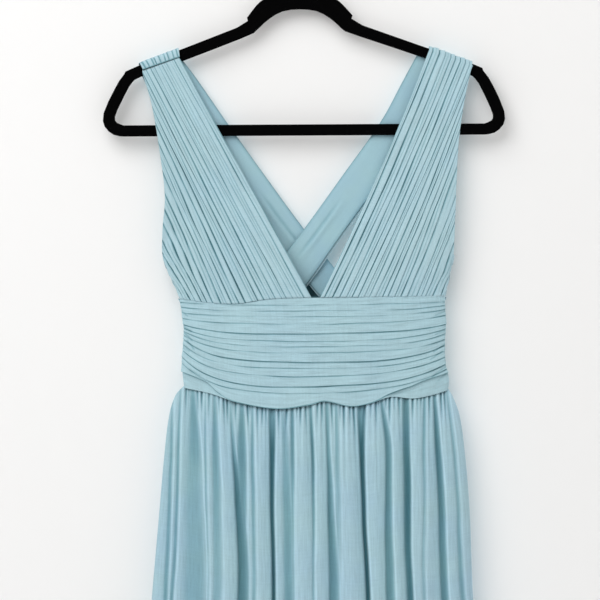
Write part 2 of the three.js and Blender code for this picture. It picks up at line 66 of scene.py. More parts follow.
HEM_STITCH = 8.2
HEM_ROWS = (9.0, 8.0, 7.2, 0.8)
MIDDLE_CROWDING = 0.35

Array = np.ndarray


class Side(Enum):
    """Which half of the dress, as the viewer of its front sees it."""

    LEFT = "left"
    RIGHT = "right"


class Facing(Enum):
    """Which way a panel looks: its value is the sign of its outward Y."""

    FRONT = -1
    BACK = 1


# Readings


def ease(values: Array, low: float, high: float) -> Array:
    """Smooth step from 0 at low to 1 at high: 3t^2 - 2t^3, with t the clamped share of the way.

    Args:
        values: places to read.
        low: where the step starts.
        high: where the step ends.

    Returns:
        The step's height at each place.
    """
    t = np.clip((np.asarray(values, float) - low) / (high - low), 0.0, 1.0)
    return t * t * (3.0 - 2.0 * t)


def read(keys: Sequence[float], values: Sequence[float], places: Array) -> Array:
    """Smooth reading of a table: a cubic through its rows, with the slope at a row that its neighbours give.

    Args:
        keys: the table's rising or falling key column.
        values: the column that is read.
        places: keys to read at, held inside the table.

    Returns:
        The value at each place.
    """
    k, v = np.asarray(keys, float), np.asarray(values, float)
    way = 1.0 if k[-1] > k[0] else -1.0
    places = np.asarray(places, float)
    i = np.clip(np.searchsorted(way * k, way * places, side="left") - 1, 0, len(k) - 2)
    slope = np.empty_like(v)
    slope[1:-1] = (v[2:] - v[:-2]) / (k[2:] - k[:-2])
    slope[0], slope[-1] = (v[1] - v[0]) / (k[1] - k[0]), (v[-1] - v[-2]) / (k[-1] - k[-2])
    step = k[i + 1] - k[i]
    t = np.clip((places - k[i]) / step, 0.0, 1.0)
    eased = t * t * (3.0 - 2.0 * t)
    bend = step * (t * (1 - t) ** 2 * slope[i] - t * t * (1 - t) * slope[i + 1])
    return v[i] + (v[i + 1] - v[i]) * eased + bend


def columns_of(rows: Sequence[Sequence[float]]) -> list[Array]:
    """Turns a table's rows into its columns."""
    return [np.asarray(column, float) for column in zip(*rows)]


def crowded_shares(count: int) -> Array:
    """Columns round half a flattened tube: share + crowding * (share - (1 - cos(pi * share)) / 2).

    Args:
        count: how many columns there are.

    Returns:
        Shares of half a turn, closest together in the middle part of the tube's width.
    """
    share = np.linspace(0.0, 1.0, count)
    return share + MIDDLE_CROWDING * (share - (1 - np.cos(np.pi * share)) / 2)


def soft_noise(places: Array, seed: int, waves: int = 5, longest: float = 1.0) -> Array:
    """Slow uneven wave between about -1 and 1: a sum of sines whose lengths and phases come from the seed.

    Args:
        places: where to read it.
        seed: fixes the phases.
        waves: how many sines are summed.
        longest: length of the longest wave, in the units of places.

    Returns:
        The wave's height at each place.
    """
    rng = np.random.default_rng(seed)
    phases, stretch = rng.uniform(0, 2 * np.pi, waves), rng.uniform(0.8, 1.25, waves)
    total = np.zeros_like(np.asarray(places, float))
    for i in range(waves):
        total = total + np.sin(2 * np.pi * places * (i + 1) * stretch[i] / longest + phases[i]) / (i + 1)
    return total / 1.6


# Sheets of cloth


def outward_of(points: Array, hint: Array) -> Array:
    """Unit normals of a grid: the cross product of its slopes down and across, turned to agree with a hint.

    Args:
        points: grid of points, rows by columns by 3.
        hint: vector that the outside roughly faces, or a grid of them.

    Returns:
        A grid of unit vectors.
    """
    normal = np.cross(np.gradient(points, axis=0), np.gradient(points, axis=1))
    normal /= np.maximum(np.linalg.norm(normal, axis=2, keepdims=True), 1e-9)
    return np.where((normal * hint).sum(2, keepdims=True) < 0, -normal, normal)


@dataclass
class ClothSheet:
    """One cut piece of cloth as a grid, thickened into a thin shell.

    points is the outer face in millimetres, flat the cut's width and length in metres.
    """

    name: str
    node: str
    points: Array
    outside: Array
    flat: tuple[float, float]
    held: str
    rests_on: list[str]
    slot: str
    # Mask of painted shade: darkens the cloth's colour where shade falls in creases, grooves and under folds.
    painted_shade: Array
    area: Optional[float] = None
    keep: Optional[Array] = None
    thickness: float = 0.5
    inside: Optional[bpy.types.Material] = None
    extra_masks: dict[str, Array] = field(default_factory=dict)

    def faces(self) -> Array:
        """Quads of the grid, wound so that they face outside, without those that keep leaves out.

        Returns:
            Vertex numbers, one row for each quad.
        """
        rows, columns = self.points.shape[:2]
        ids = np.arange(rows * columns).reshape(rows, columns)
        quads = np.stack([ids[:-1, :-1], ids[1:, :-1], ids[1:, 1:], ids[:-1, 1:]], axis=-1)
        normal = np.cross(np.gradient(self.points, axis=0), np.gradient(self.points, axis=1))
        outside = np.broadcast_to(self.outside, self.points.shape)
        if (normal * outside)[:-1, :-1].sum(2).mean() <= 0:
            quads = quads[..., ::-1]
        if self.keep is not None:
            return quads[self.keep]
        return quads.reshape(-1, 4)

    def lengths(self) -> tuple[Array, Array]:
        """Distances along the cloth in metres, across each row and down each column, for its weave.

        Returns:
            Two grids, across and down.
        """
        across = np.linalg.norm(np.diff(self.points, axis=1), axis=2).mean(0)
        down = np.linalg.norm(np.diff(self.points, axis=0), axis=2).mean(1)
        u = np.concatenate([[0.0], np.cumsum(across)]) * MM
        v = np.concatenate([[0.0], np.cumsum(down)]) * MM
        rows, columns = self.points.shape[:2]
        return np.broadcast_to(u, (rows, columns)), np.broadcast_to(v[:, None], (rows, columns))

    def build(self, material: bpy.types.Material) -> bpy.types.Object:
        """Args:
            material: the cloth's finish.

        Returns:
            The finished piece.
        """
        quads = self.faces()
        used, inverse = np.unique(quads, return_inverse=True)
        quads = inverse.reshape(-1, 4)
        flat_points = self.points.reshape(-1, 3)[used] * MM
        mesh = bpy.data.meshes.new(self.name)
        mesh.from_pydata(flat_points.tolist(), [], quads.tolist())
        u, v = self.lengths()
        uv = np.stack([u.reshape(-1)[used], v.reshape(-1)[used]], axis=1)
        layer = mesh.uv_layers.new(name="Cloth")
        layer.data.foreach_set("uv", uv[quads.reshape(-1)].astype(np.float32).reshape(-1))
        # Writes the masks of painted shade and painted highlight as attributes that the finishes read.
        for name, mask in {"painted_shade": self.painted_shade, **self.extra_masks}.items():
            attribute = mesh.attributes.new(name, "FLOAT", "POINT")
            values = np.broadcast_to(mask, self.points.shape[:2]).reshape(-1)[used]
            attribute.data.foreach_set("value", values.astype(np.float32))
        mesh.polygons.foreach_set("use_smooth", np.ones(len(quads), bool))
        mesh.update()
        mesh.materials.append(material)
        piece = bpy.data.objects.new(self.name, mesh)
        bpy.context.scene.collection.objects.link(piece)
        wall = piece.modifiers.new("Cloth thickness", "SOLIDIFY")
        wall.thickness, wall.offset = self.thickness * MM, -1.0
        if self.inside is not None:
            mesh.materials.append(self.inside)
            wall.material_offset = 1
        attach(piece, "root")
        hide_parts(self.node)
        LOG.info("%s: %d quads, flat %.2f x %.2f m", self.name, len(quads), *self.flat)
        return piece


# The body's flattened form


@dataclass(frozen=True)
class HangerArm:
    """The sloping arms that the shoulders lie over."""

    thickness: float = 5.2
    edge_x: float = 73.7
    edge_z: float = -120.5
    fall: float = 0.3673
    right_lift: float = 1.8

    def centre(self, x: Array) -> Array:
        """Level of a fold's middle: the edge's level less half the thickness, falling evenly outwards."""
        lift = np.where(np.asarray(x) > 0, self.right_lift, 0.0)
        return self.edge_z + lift - self.fall * (np.abs(x) - self.edge_x) - self.thickness / 2

    def over(self, x: Array, pattern_z: Array, side: int, radius: float) -> Array:
        """Lays flat cloth over the arm: straight below its middle, round half a circle above it, down behind.

        Args:
            x: places across.
            pattern_z: levels on the flat cloth, which run on upwards past the fold.
            side: -1 where the cloth hangs in front, 1 where it hangs behind.
            radius: radius of the fold.

        Returns:
            Points, with one more axis of 3.
        """
        x, pattern_z = np.broadcast_arrays(np.asarray(x, float), np.asarray(pattern_z, float))
        centre = self.centre(x)
        above = pattern_z - centre
        turn = np.pi * radius
        angle = np.clip(above, 0.0, turn) / radius
        y = side * radius * np.cos(angle)
        z = np.where(above <= 0, pattern_z, centre + radius * np.sin(angle) - np.maximum(above - turn, 0.0))
        return np.stack([x, y, z], axis=-1)


ARM = HangerArm()

# Each row: level, place across
ARMHOLES: dict[Side, list[tuple[float, float]]] = {
    Side.LEFT: [(-168, -178.8), (-204, -168.7), (-256, -160.1), (-306, -154.6),
                (-345, -157.5), (-376, -156.7), (-400, -145), (-422, -138.6)],
    Side.RIGHT: [(-160, 187), (-198, 178.4), (-246, 171.3), (-301, 168),
                 (-350, 166.2), (-376, 164.4), (-396, 159), (-418, 155.5)],
}


def armhole_x(side: Side, z: Array) -> Array:
    """Reads the armhole edge's place across at a level."""
    keys, values = columns_of(ARMHOLES[side])
    return read(keys, values, z)


def ellipse_depth(x: Array, left: Array, right: Array, depth: Array) -> Array:
    """Half depth of the flattened body: the depth times the root of 1 less the squared share across.

    Args:
        x: places across.
        left: the left edge there.
        right: the right edge there.
        depth: half depth in the middle.

    Returns:
        The half depth at each place, with half the gap of the side seam.
    """
    share = np.clip((2 * x - left - right) / (right - left), -1.0, 1.0)
    return SEAM_GAP / 2 + depth * np.sqrt(1.0 - share * share)


def body_depth(x: Array, z: Array) -> Array:
    """Half depth of the bodice: an ellipse across, fuller at the bust by a sine over its height."""
    bust = BUST_FULLNESS * np.sin(np.pi * ease(z, BAND_TOP, BUST_TOP))
    return ellipse_depth(x, armhole_x(Side.LEFT, z), armhole_x(Side.RIGHT, z), WAIST_DEPTH + bust)


def waist_seam_level(x: Array) -> Array:
    """Level of the seam between bodice and waistband in front, which sags a little left of the middle.

    Args:
        x: places across.

    Returns:
        The level at each place.
    """
    keys = (-139, -112, -84, -66, -52, -35, -10, 16, 80, 156)
    levels = (-418.9, -423.2, -425.4, -424.6, -422.2, -420.3, -419.3, -418.9, -418.6, -417.6)
    return read(keys, levels, x)


# Pleats


@dataclass(frozen=True)
class Pleats:
    """A run of knife pleats: each one's width, its root's groove and painted shade line, and how its face
    leans.
    """

    widths: tuple[float, ...]
    lines: tuple[float, ...]
    lean: tuple[float, ...]
    steps: tuple[float, ...] = (0.0, 0.06, 0.12, 0.2, 0.34, 0.44, 0.5, 0.56, 0.7, 0.86, 0.95)
    root_reach: float = 0.13
    fold_reach: float = 0.055

    def edges(self) -> Array:
        """Share of the whole width at each pleat's start, and 1 at the end: running sums of the widths."""
        total = np.concatenate([[0.0], np.cumsum(self.widths)])
        return total / total[-1]

    def columns(self) -> Array:
        """Shares of the mesh's columns: the same few steps in every pleat, closest together at its fold.

        Returns:
            The shares, from 0 to 1.
        """
        edges = self.edges()
        inner = edges[:-1, None] + np.diff(edges)[:, None] * np.asarray(self.steps)
        return np.append(inner.reshape(-1), 1.0)

    def profile(self, u: Array, t: Array, seed: int) -> tuple[Array, Array]:
        """Height of the pleats and the mask of painted shade along their lines, at shares across and down.

        A pleat climbs from its root to its fold and drops at once to the next root, so height is
        (0.5 + 0.9 * line) * (0.35 + 0.65 * phase^0.8 + lean * sin(pi * phase)), less a groove at the root.
        The groove and the painted shade along it are line * exp(-(phase / root_reach)^2) there, and a thinner
        bell before the next root. A shallower rib line of the same kind, groove and shade, comes and goes
        along the middle of each pleat.

        Args:
            u: shares across, from 0 to 1, one row.
            t: shares down, one column.
            seed: fixes how each line fades and returns along its length.

        Returns:
            The height in millimetres and the mask of painted shade from 0 to 1.
        """
        edges = self.edges()
        i = np.clip(np.searchsorted(edges, u, side="right") - 1, 0, len(self.widths) - 1)
        nearer = np.clip(i + 1, 0, len(self.widths) - 1)
        phase = np.clip((u - edges[i]) / (edges[i + 1] - edges[i]), 0.0, 1.0)
        fading = 0.95 + 0.5 * soft_noise(1.6 * t + 0.37 * i, seed, 4, 1.0)
        fading_next = 0.95 + 0.5 * soft_noise(1.6 * t + 0.37 * nearer, seed, 4, 1.0)
        line = np.asarray(self.lines)[i] * fading
        next_line = np.asarray(self.lines)[nearer] * fading_next
        climb = 0.35 + 0.65 * phase ** 0.8 + np.asarray(self.lean)[i] * np.sin(np.pi * phase)
        root = np.exp(-((phase / self.root_reach) ** 2))
        fold = np.exp(-(((1.0 - phase) / self.fold_reach) ** 2))
        comes = np.clip(0.5 + 0.6 * np.sin(2.4 * i + 5.0 * t), 0.0, 1.0)
        rib = np.exp(-(((phase - 0.5) / self.fold_reach) ** 2)) * comes
        groove = (0.35 + 0.9 * line) * root + 0.3 * next_line * fold + 0.35 * rib
        height = (0.5 + 0.9 * line) * climb - groove
        # Painted shade: darker colour along each root, before each fold and along the ribs.
        mask = line * root + 0.75 * next_line * fold + 0.4 * rib
        return height, np.clip(mask, 0.0, 1.0)


# Bodice


@dataclass
class BodiceFront:
    """Pleated half of the front, from the shoulder to the waist seam. The right half laps over the arm."""

    side: Side
    neck_top: float
    neck_point: float
    bow: float
    pleats: Pleats
    shoulder_share: float
    material: bpy.types.Material
    fold_radius: float = 4.1
    lap: float = 6.0
    tucked: float = 1.4
    pleated_share: float = 0.93
    rows: int = 130
    lap_rows: int = 26
    wander: float = 0.0085

    def starts(self, u: Array) -> tuple[Array, Array]:
        """Where each pleat line starts: along the shoulder up to shoulder_share, then down the armhole.

        Args:
            u: shares across.

        Returns:
            X and Z of each start.
        """
        seam = BAND_TOP + SEAM_GAP
        arm_x = float(ARMHOLES[self.side][0][1])
        drop = 0.0 if self.side is Side.RIGHT else self.lap - self.tucked
        shoulder_x = self.neck_top + (arm_x - self.neck_top) * np.minimum(u / self.shoulder_share, 1.0)
        shoulder_z = ARM.centre(shoulder_x) - drop
        top = float(ARM.centre(np.array(arm_x))) - drop
        down = np.clip((u - self.shoulder_share) / (1.0 - self.shoulder_share), 0.0, 1.0)
        side_z = top + (seam - top) * self.pleated_share * down
        on_side = u > self.shoulder_share
        start_x = np.where(on_side, armhole_x(self.side, side_z), shoulder_x)
        return start_x, np.where(on_side, side_z, shoulder_z)

    def middle(self, u: Array, t: Array) -> Array:
        """Surface of the cloth: straight lines from start to waist seam, on the flattened body's form.

        x = start + (end - start) t + bow sin(pi t) (1 - u), z likewise, and y is the fold's radius over the
        arm, running into the body's half depth further down.

        Args:
            u: shares across, one row.
            t: shares down, one column.

        Returns:
            A grid of points in millimetres.
        """
        start_x, start_z = self.starts(u)
        end_x = self.neck_point + (float(ARMHOLES[self.side][-1][1]) - self.neck_point) * u
        end_z = waist_seam_level(end_x) + SEAM_GAP
        x = start_x + (end_x - start_x) * t + self.bow * np.sin(np.pi * t) * (1 - u)
        z = start_z + (end_z - start_z) * t
        points = ARM.over(x, z, -1, self.fold_radius)
        filled = body_depth(x, z) * ease(-z, -SHOULDERS_END, -BAND_TOP)
        flat = self.fold_radius * (1 - ease(-z, 320.0, -BAND_TOP))
        points[..., 1] = np.where(z < SHOULDERS_END, -np.maximum(filled, flat), points[..., 1])
        return points

    def build(self) -> bpy.types.Object:
        """Lays the pleats on the surface and rounds the neck and armhole edges inwards.

        Returns:
            The finished panel.
        """
        u = self.pleats.columns()[None, :]
        t = np.linspace(0.0, 1.0, self.rows)[:, None]
        seed = 11 if self.side is Side.LEFT else 12
        held = np.sin(np.pi * t) * (4 * u * (1 - u)) ** 0.3
        wander = self.wander * soft_noise(1.3 * t + 9.0 * u, seed, 4, 1.7) * held
        points = self.middle(np.clip(u + wander, 0.0, 1.0), t)
        keep = None
        lap_rows = 0
        if self.side is Side.RIGHT:
            lap_rows = self.lap_rows
            start_x, start_z = self.starts(u)
            behind = start_z + np.pi * self.fold_radius + self.lap
            share = np.linspace(0.0, 1.0, lap_rows, endpoint=False)[:, None]
            lap = ARM.over(start_x, behind + (start_z - behind) * share, -1, self.fold_radius)
            points = np.concatenate([lap, points])
            keep = np.ones((points.shape[0] - 1, u.size - 1), bool)
            keep[:lap_rows, u[0, 1:] > self.shoulder_share + 1e-6] = False
        lapped = np.arange(points.shape[0])[:, None] < lap_rows
        hint = np.zeros_like(points)
        hint[..., 1] = np.where(lapped, points[..., 1], -1.0)
        hint[..., 2] = np.where(lapped, 2.0, 0.0)
        normal = outward_of(points, hint)
        t_all = np.concatenate([np.zeros((lap_rows, 1)), t])
        # Painted shade along the pleat lines, from the same profile as their height.
        height, painted_shade = self.pleats.profile(u, t_all, seed + 40)
        strength = 0.78 + 0.22 * ease(t_all, 0.0, 0.3) - 0.2 * ease(t_all, 0.965, 1.0)
        edge = np.exp(-((u / 0.004) ** 2)) + np.exp(-(((1 - u) / 0.006) ** 2))
        swell = 0.35 * soft_noise(t_all * 2.2 + 5.0 * u, 5, 4, 1.3)
        raised = height * strength * (1 - 0.9 * edge) + 0.8 + swell * (1 - edge)
        if self.side is Side.LEFT:
            raised[0] = 0.05
        node = f"bodice_front_{self.side.value}"
        return ClothSheet(
            name=f"{node}_pleated", node=node, points=points + normal * raised[..., None],
            outside=np.array([0.0, -1.0, 0.0]), flat=(0.19, 0.285), area=0.030, held="hung",
            rests_on=["hanger_frame"], slot="cloth", painted_shade=painted_shade * strength, keep=keep,
        ).build(self.material)


# Back straps


StrapRow = tuple[float, float, float, float, float, float]

# Each row: share down, the neck edge's X and Z, the armhole edge's X and Z, least half depth
STRAPS: dict[Side, list[StrapRow]] = {
    Side.LEFT: [
        (0.0, -138.4, -149.0, -182.8, -165.0, 4.85), (0.12, -119.0, -174.8, -166.0, -198.0, 4.85),
        (0.34, -83.6, -226.4, -120.0, -252.0, 5.6), (0.56, -38.5, -290.0, -74.0, -314.0, 9.4),
        (0.76, -1.1, -341.7, -36.0, -366.0, 10.9), (0.9, 32.4, -384.9, -4.0, -395.0, 13.1),
        (1.0, 60.0, -418.6, 16.0, -418.6, 14.2)],
    Side.RIGHT: [
        (0.0, 128.0, -145.9, 182.3, -165.9, 4.85), (0.12, 109.3, -180.0, 154.0, -204.0, 4.85),
        (0.34, 84.2, -225.4, 121.0, -248.0, 4.9), (0.56, 42.0, -284.0, 75.0, -306.0, 5.2),
        (0.76, -1.6, -343.7, 36.0, -359.0, 5.3), (0.9, -29.0, -379.0, 15.0, -389.3, 6.6),
        (1.0, -56.0, -418.6, -7.0, -418.6, 12.8)],
}

# Gathers in the casing, each row: share across, half width as a share, depth
CASING_GATHERS = [(0.07, 0.02, 0.7), (0.17, 0.012, 0.9), (0.3, 0.014, 0.6), (0.36, 0.012, 1.1),
                  (0.49, 0.016, 0.8), (0.62, 0.012, 0.6), (0.71, 0.014, 1.2), (0.83, 0.012, 0.8),
                  (0.93, 0.014, 0.6)]

STRAP_PLEATS = Pleats(
    widths=(5, 7.5, 6, 7, 7.5, 5.5, 6.5, 6), lines=(0.0, 0.55, 0.45, 0.6, 0.4, 0.55, 0.45, 0.5),
    lean=(0.0, 0.1, 0.0, 0.15, -0.1, 0.1, 0.0, 0.1),
)


@dataclass
class BackStrap:
    """Pleated back strap with a plain lining inside it. The left one laps over the arm to the front."""

    side: Side
    cloth: bpy.types.Material
    lining: bpy.types.Material
    fold_radius: float = 4.85
    lap_share: float = 0.12
    lap: float = 6.0
    pleats: Pleats = STRAP_PLEATS
    wall: float = 1.2
    lining_wall: float = 1.0
    wander: float = 0.012

    def middle(self, u: Array, v: Array) -> Array:
        """Surface of the strap, ruled between its two edges, over the arm at the top and seated at the waist.

        Args:
            u: shares across, from the armhole edge to the neck edge.
            v: shares down, with the lap over the arm first on the left strap.

        Returns:
            A grid of points in millimetres.
        """
        at, neck_x, neck_z, arm_x, arm_z, depth = columns_of(STRAPS[self.side])
        lap_share = self.lap_share if self.side is Side.LEFT else 0.0
        along = np.clip((v - lap_share) / (1 - lap_share), 0.0, 1.0)
        x = read(at, arm_x, along) * (1 - u) + read(at, neck_x, along) * u
        flat_z = read(at, arm_z, along) * (1 - u) + read(at, neck_z, along) * u
        front_end = ARM.centre(x) + np.pi * self.fold_radius + self.lap - SEAM_GAP
        share = np.clip(v / max(lap_share, 1e-9), 0.0, 1.0)
        pattern_z = np.where(v < lap_share, front_end + (flat_z - front_end) * share, flat_z)
        front = np.clip((pattern_z - ARM.centre(x) - np.pi * self.fold_radius / 2) / 12.0, 0.0, 1.0)
        x = x + np.where(v < lap_share, front * (4.4 * (1 - u) + 1.3 * u), 0.0)
        points = ARM.over(x, pattern_z, 1, self.fold_radius)
        landing = ease(-flat_z, -BAND_TOP - 12, -BAND_TOP)
        seat = ellipse_depth(x, WAIST_LEFT_X, WAIST_RIGHT_X, WAIST_DEPTH)
        settled = np.maximum(points[..., 1], read(at, depth, along))
        settled = settled + (seat - settled) * landing
        points[..., 1] = np.where(v < lap_share, points[..., 1], settled)
        return points

    def hints(self, points: Array, v: Array) -> Array:
        """Rough outward directions: backwards below the arm, and away from its middle over the lap.

        Args:
            points: the strap's points.
            v: shares down.

        Returns:
            A grid of vectors.
        """
        hint = np.zeros_like(points)
        lapped = (v < self.lap_share) & (self.side is Side.LEFT)
        hint[..., 1] = np.where(lapped, points[..., 1], 1.0)
        hint[..., 2] = np.where(lapped, points[..., 2] - ARM.centre(points[..., 0]), 0.0)
        return hint

    def build_strap(self) -> bpy.types.Object:
        """Raises knife pleats along the strap, gathered into a casing where the left one laps over the arm.

        Returns:
            The finished strap.
        """
        rows = [np.linspace(0.0, 1.0, 120)[:, None]]
        if self.side is Side.LEFT:
            rows = [np.linspace(0.0, self.lap_share, 38, endpoint=False)[:, None],
                    np.linspace(self.lap_share, 1.0, 104)[:, None]]
        v = np.concatenate(rows)
        u = self.pleats.columns()[None, :]
        seed = 21 if self.side is Side.LEFT else 22
        wander = self.wander * soft_noise(v + 2 * u, seed, 3, 1.1) * (4 * u * (1 - u)) ** 0.3
        points = self.middle(np.clip(u + wander, 0.0, 1.0), v)
        normal = outward_of(points, self.hints(points, v))
        # Height and painted shade of the strap's pleats.
        height, painted_shade = self.pleats.profile(u, v, seed + 40)
        if self.side is Side.LEFT:
            casing = 1.0 - ease(v, self.lap_share * 0.42, self.lap_share * 0.66)
            gathers, widths, depths = columns_of(CASING_GATHERS)
            lean = 0.05 * (v / self.lap_share - 0.3)
            bells = np.exp(-(((u[..., None] + lean[..., None] - gathers) / widths) ** 2))
            gathered = 0.85 - (bells * depths).sum(-1)
            height = height * (1 - casing) + gathered * casing
            # Painted shade in the casing's gathers.
            painted_shade = painted_shade * (1 - casing) + np.clip(bells.sum(-1), 0, 1) * 0.7 * casing
        rim = np.exp(-((u / 0.012) ** 2)) + np.exp(-(((1 - u) / 0.012) ** 2))
        ends = np.exp(-((v / 0.006) ** 2)) * (1.0 if self.side is Side.LEFT else 0.0)
        # Painted shade along the end of the left strap's lap, in front of the arm.
        painted_shade = np.maximum(painted_shade, 0.6 * ends)
        height = height * (1 - 0.8 * rim) * (1 - 0.6 * ends)
        raised = self.wall / 2 + height
        if self.side is Side.RIGHT:
            raised[0] = -0.6
        flat_length = 0.345 if self.side is Side.LEFT else 0.33
        node = f"back_strap_{self.side.value}"
        return ClothSheet(
            name=f"{node}_pleated", node=node, points=points + normal * raised[..., None],
            outside=self.hints(points, v), flat=(0.05, flat_length), held="hung", rests_on=["hanger_frame"],
            slot="cloth", painted_shade=painted_shade,
        ).build(self.cloth)

    def build_lining(self) -> bpy.types.Object:
        """Plain lining on the inner face, with long soft swells and a turned edge.

        Returns:
            The finished lining.
        """
        lap_share = self.lap_share if self.side is Side.LEFT else 0.0
        v = np.linspace(lap_share, 1.0, 96)[:, None]
        u = np.linspace(0.05, 0.985, 40)[None, :]
        points = self.middle(u, v)
        normal = outward_of(points, np.array([0.0, 1.0, 0.0]))
        inward = self.wall / 2 + SEAM_GAP + self.lining_wall
        swell = 0.5 * soft_noise(1.4 * v + 0.9 * u, 31 if self.side is Side.LEFT else 32, 3, 1.3)
        low = ease(v, 0.6, 0.7) * (1 - ease(v, 0.78, 0.9))
        fold = 1.3 * np.exp(-(((u - 0.56) / 0.09) ** 2)) * low
        furrow = np.exp(-(((u - 0.66 - 0.1 * (v - 0.75)) / 0.045) ** 2)) * low
        rim = np.exp(-(((u - 0.05) / 0.05) ** 2)) + np.exp(-(((0.985 - u) / 0.05) ** 2))
        shift = -(inward + (swell * 0.6 + fold) * (1 - np.clip(rim, 0, 1)) - 0.5 * rim - 0.7 * furrow)
        node = f"back_strap_lining_{self.side.value}"
        # Painted shade along the lining's furrow and at both of its edges.
        return ClothSheet(
            name=f"{node}_plain", node=node, points=points + normal * shift[..., None],
            outside=np.array([0.0, -1.0, 0.0]), flat=(0.046, 0.31), held="hung", rests_on=["hanger_frame"],
            slot="lining", painted_shade=0.35 * furrow + 0.25 * np.clip(rim, 0, 1), thickness=0.3,
        ).build(self.lining)


# Waistband


# Each row: share of the height, the left side's X, the right side's X
BAND_SIDES = [(0.0, WAIST_LEFT_X, WAIST_RIGHT_X), (0.3, -134.6, 155.8), (0.5, -134.8, 154.5),
              (0.7, -136.6, 155.1), (0.88, -135.4, 159.0), (1.0, -133.9, 157.4)]
# Each row: X, level
BAND_HEMS = {
    Facing.FRONT: [(-134, -518), (-104, -524.5), (-74, -534.5), (-30, -541.4), (5, -537.2), (20.4, -533.3),
                   (49, -539), (69, -536.4), (93, -529), (119, -530.8), (141, -527), (157, -522.3)],
    Facing.BACK: [(-134, -518), (-70, -530), (12, -535), (90, -531), (157, -522.3)],
}

# Each row: X, how far the overlay's own edge lies above the hem
OVERLAY_RISES = [(-139, 18.0), (-126, 15.5), (-112.7, 12.2), (-102.7, 5.0), (-88, 0.8), (0, 0.8), (74, 0.8),
                 (92, 4.6), (109.5, 12.4), (127, 18.5), (156, 20.0)]


def band_hem_level(facing: Facing, u: Array) -> Array:
    """Level of the waistband's lower edge: the hem table read at middle - reach * cos(pi * share).

    Args:
        facing: which panel.
        u: shares round its half.

    Returns:
        The level at each share.
    """
    keys, levels = columns_of(BAND_HEMS[facing])
    middle, reach = (keys[0] + keys[-1]) / 2, (keys[-1] - keys[0]) / 2
    return read(keys, levels, middle - reach * np.cos(np.pi * u))


@dataclass(frozen=True)
class Tuck:
    """One fold of the ruching: its drop below the waist seam and how marked its line is.

    It starts higher at each side seam by a rise, and comes down from the right one over right_reach.
    """

    middle: float
    left_rise: float
    right_rise: float
    right_reach: float
    line: float
    left_reach: float = 33.0

    def drop(self, x: Array) -> Array:
        """Drop below the waist seam: middle - rise * exp(-way in / reach) for the left and the right seam.

        Args:
            x: places across.

        Returns:
            The drop at each place.
        """
        left = self.left_rise * np.exp((TUCKS_LEFT_X - x) / self.left_reach)
        right = self.right_rise * np.exp((x - TUCKS_RIGHT_X) / self.right_reach)
        return self.middle - left - right


@dataclass(frozen=True)
class Crumple:
    """Short straight crumple line on the waistband, from one place to another, each given as X and drop."""

    start: tuple[float, float]
    end: tuple[float, float]
    depth: float
    half_width: float = 0.9

    def sink(self, x: Array, drop: Array) -> Array:
        """Depth of the crumple: depth * exp(-(distance from the line / half width)^2).

        Args:
            x: places across.
            drop: drops below the waist seam.

        Returns:
            The depth at each place.
        """
        way_x, way_drop = self.end[0] - self.start[0], self.end[1] - self.start[1]
        from_x, from_drop = x - self.start[0], drop - self.start[1]
        along = np.clip((from_x * way_x + from_drop * way_drop) / (way_x ** 2 + way_drop ** 2), 0.0, 1.0)
        away_x, away_drop = from_x - along * way_x, from_drop - along * way_drop
        return self.depth * np.exp(-(away_x ** 2 + away_drop ** 2) / self.half_width ** 2)


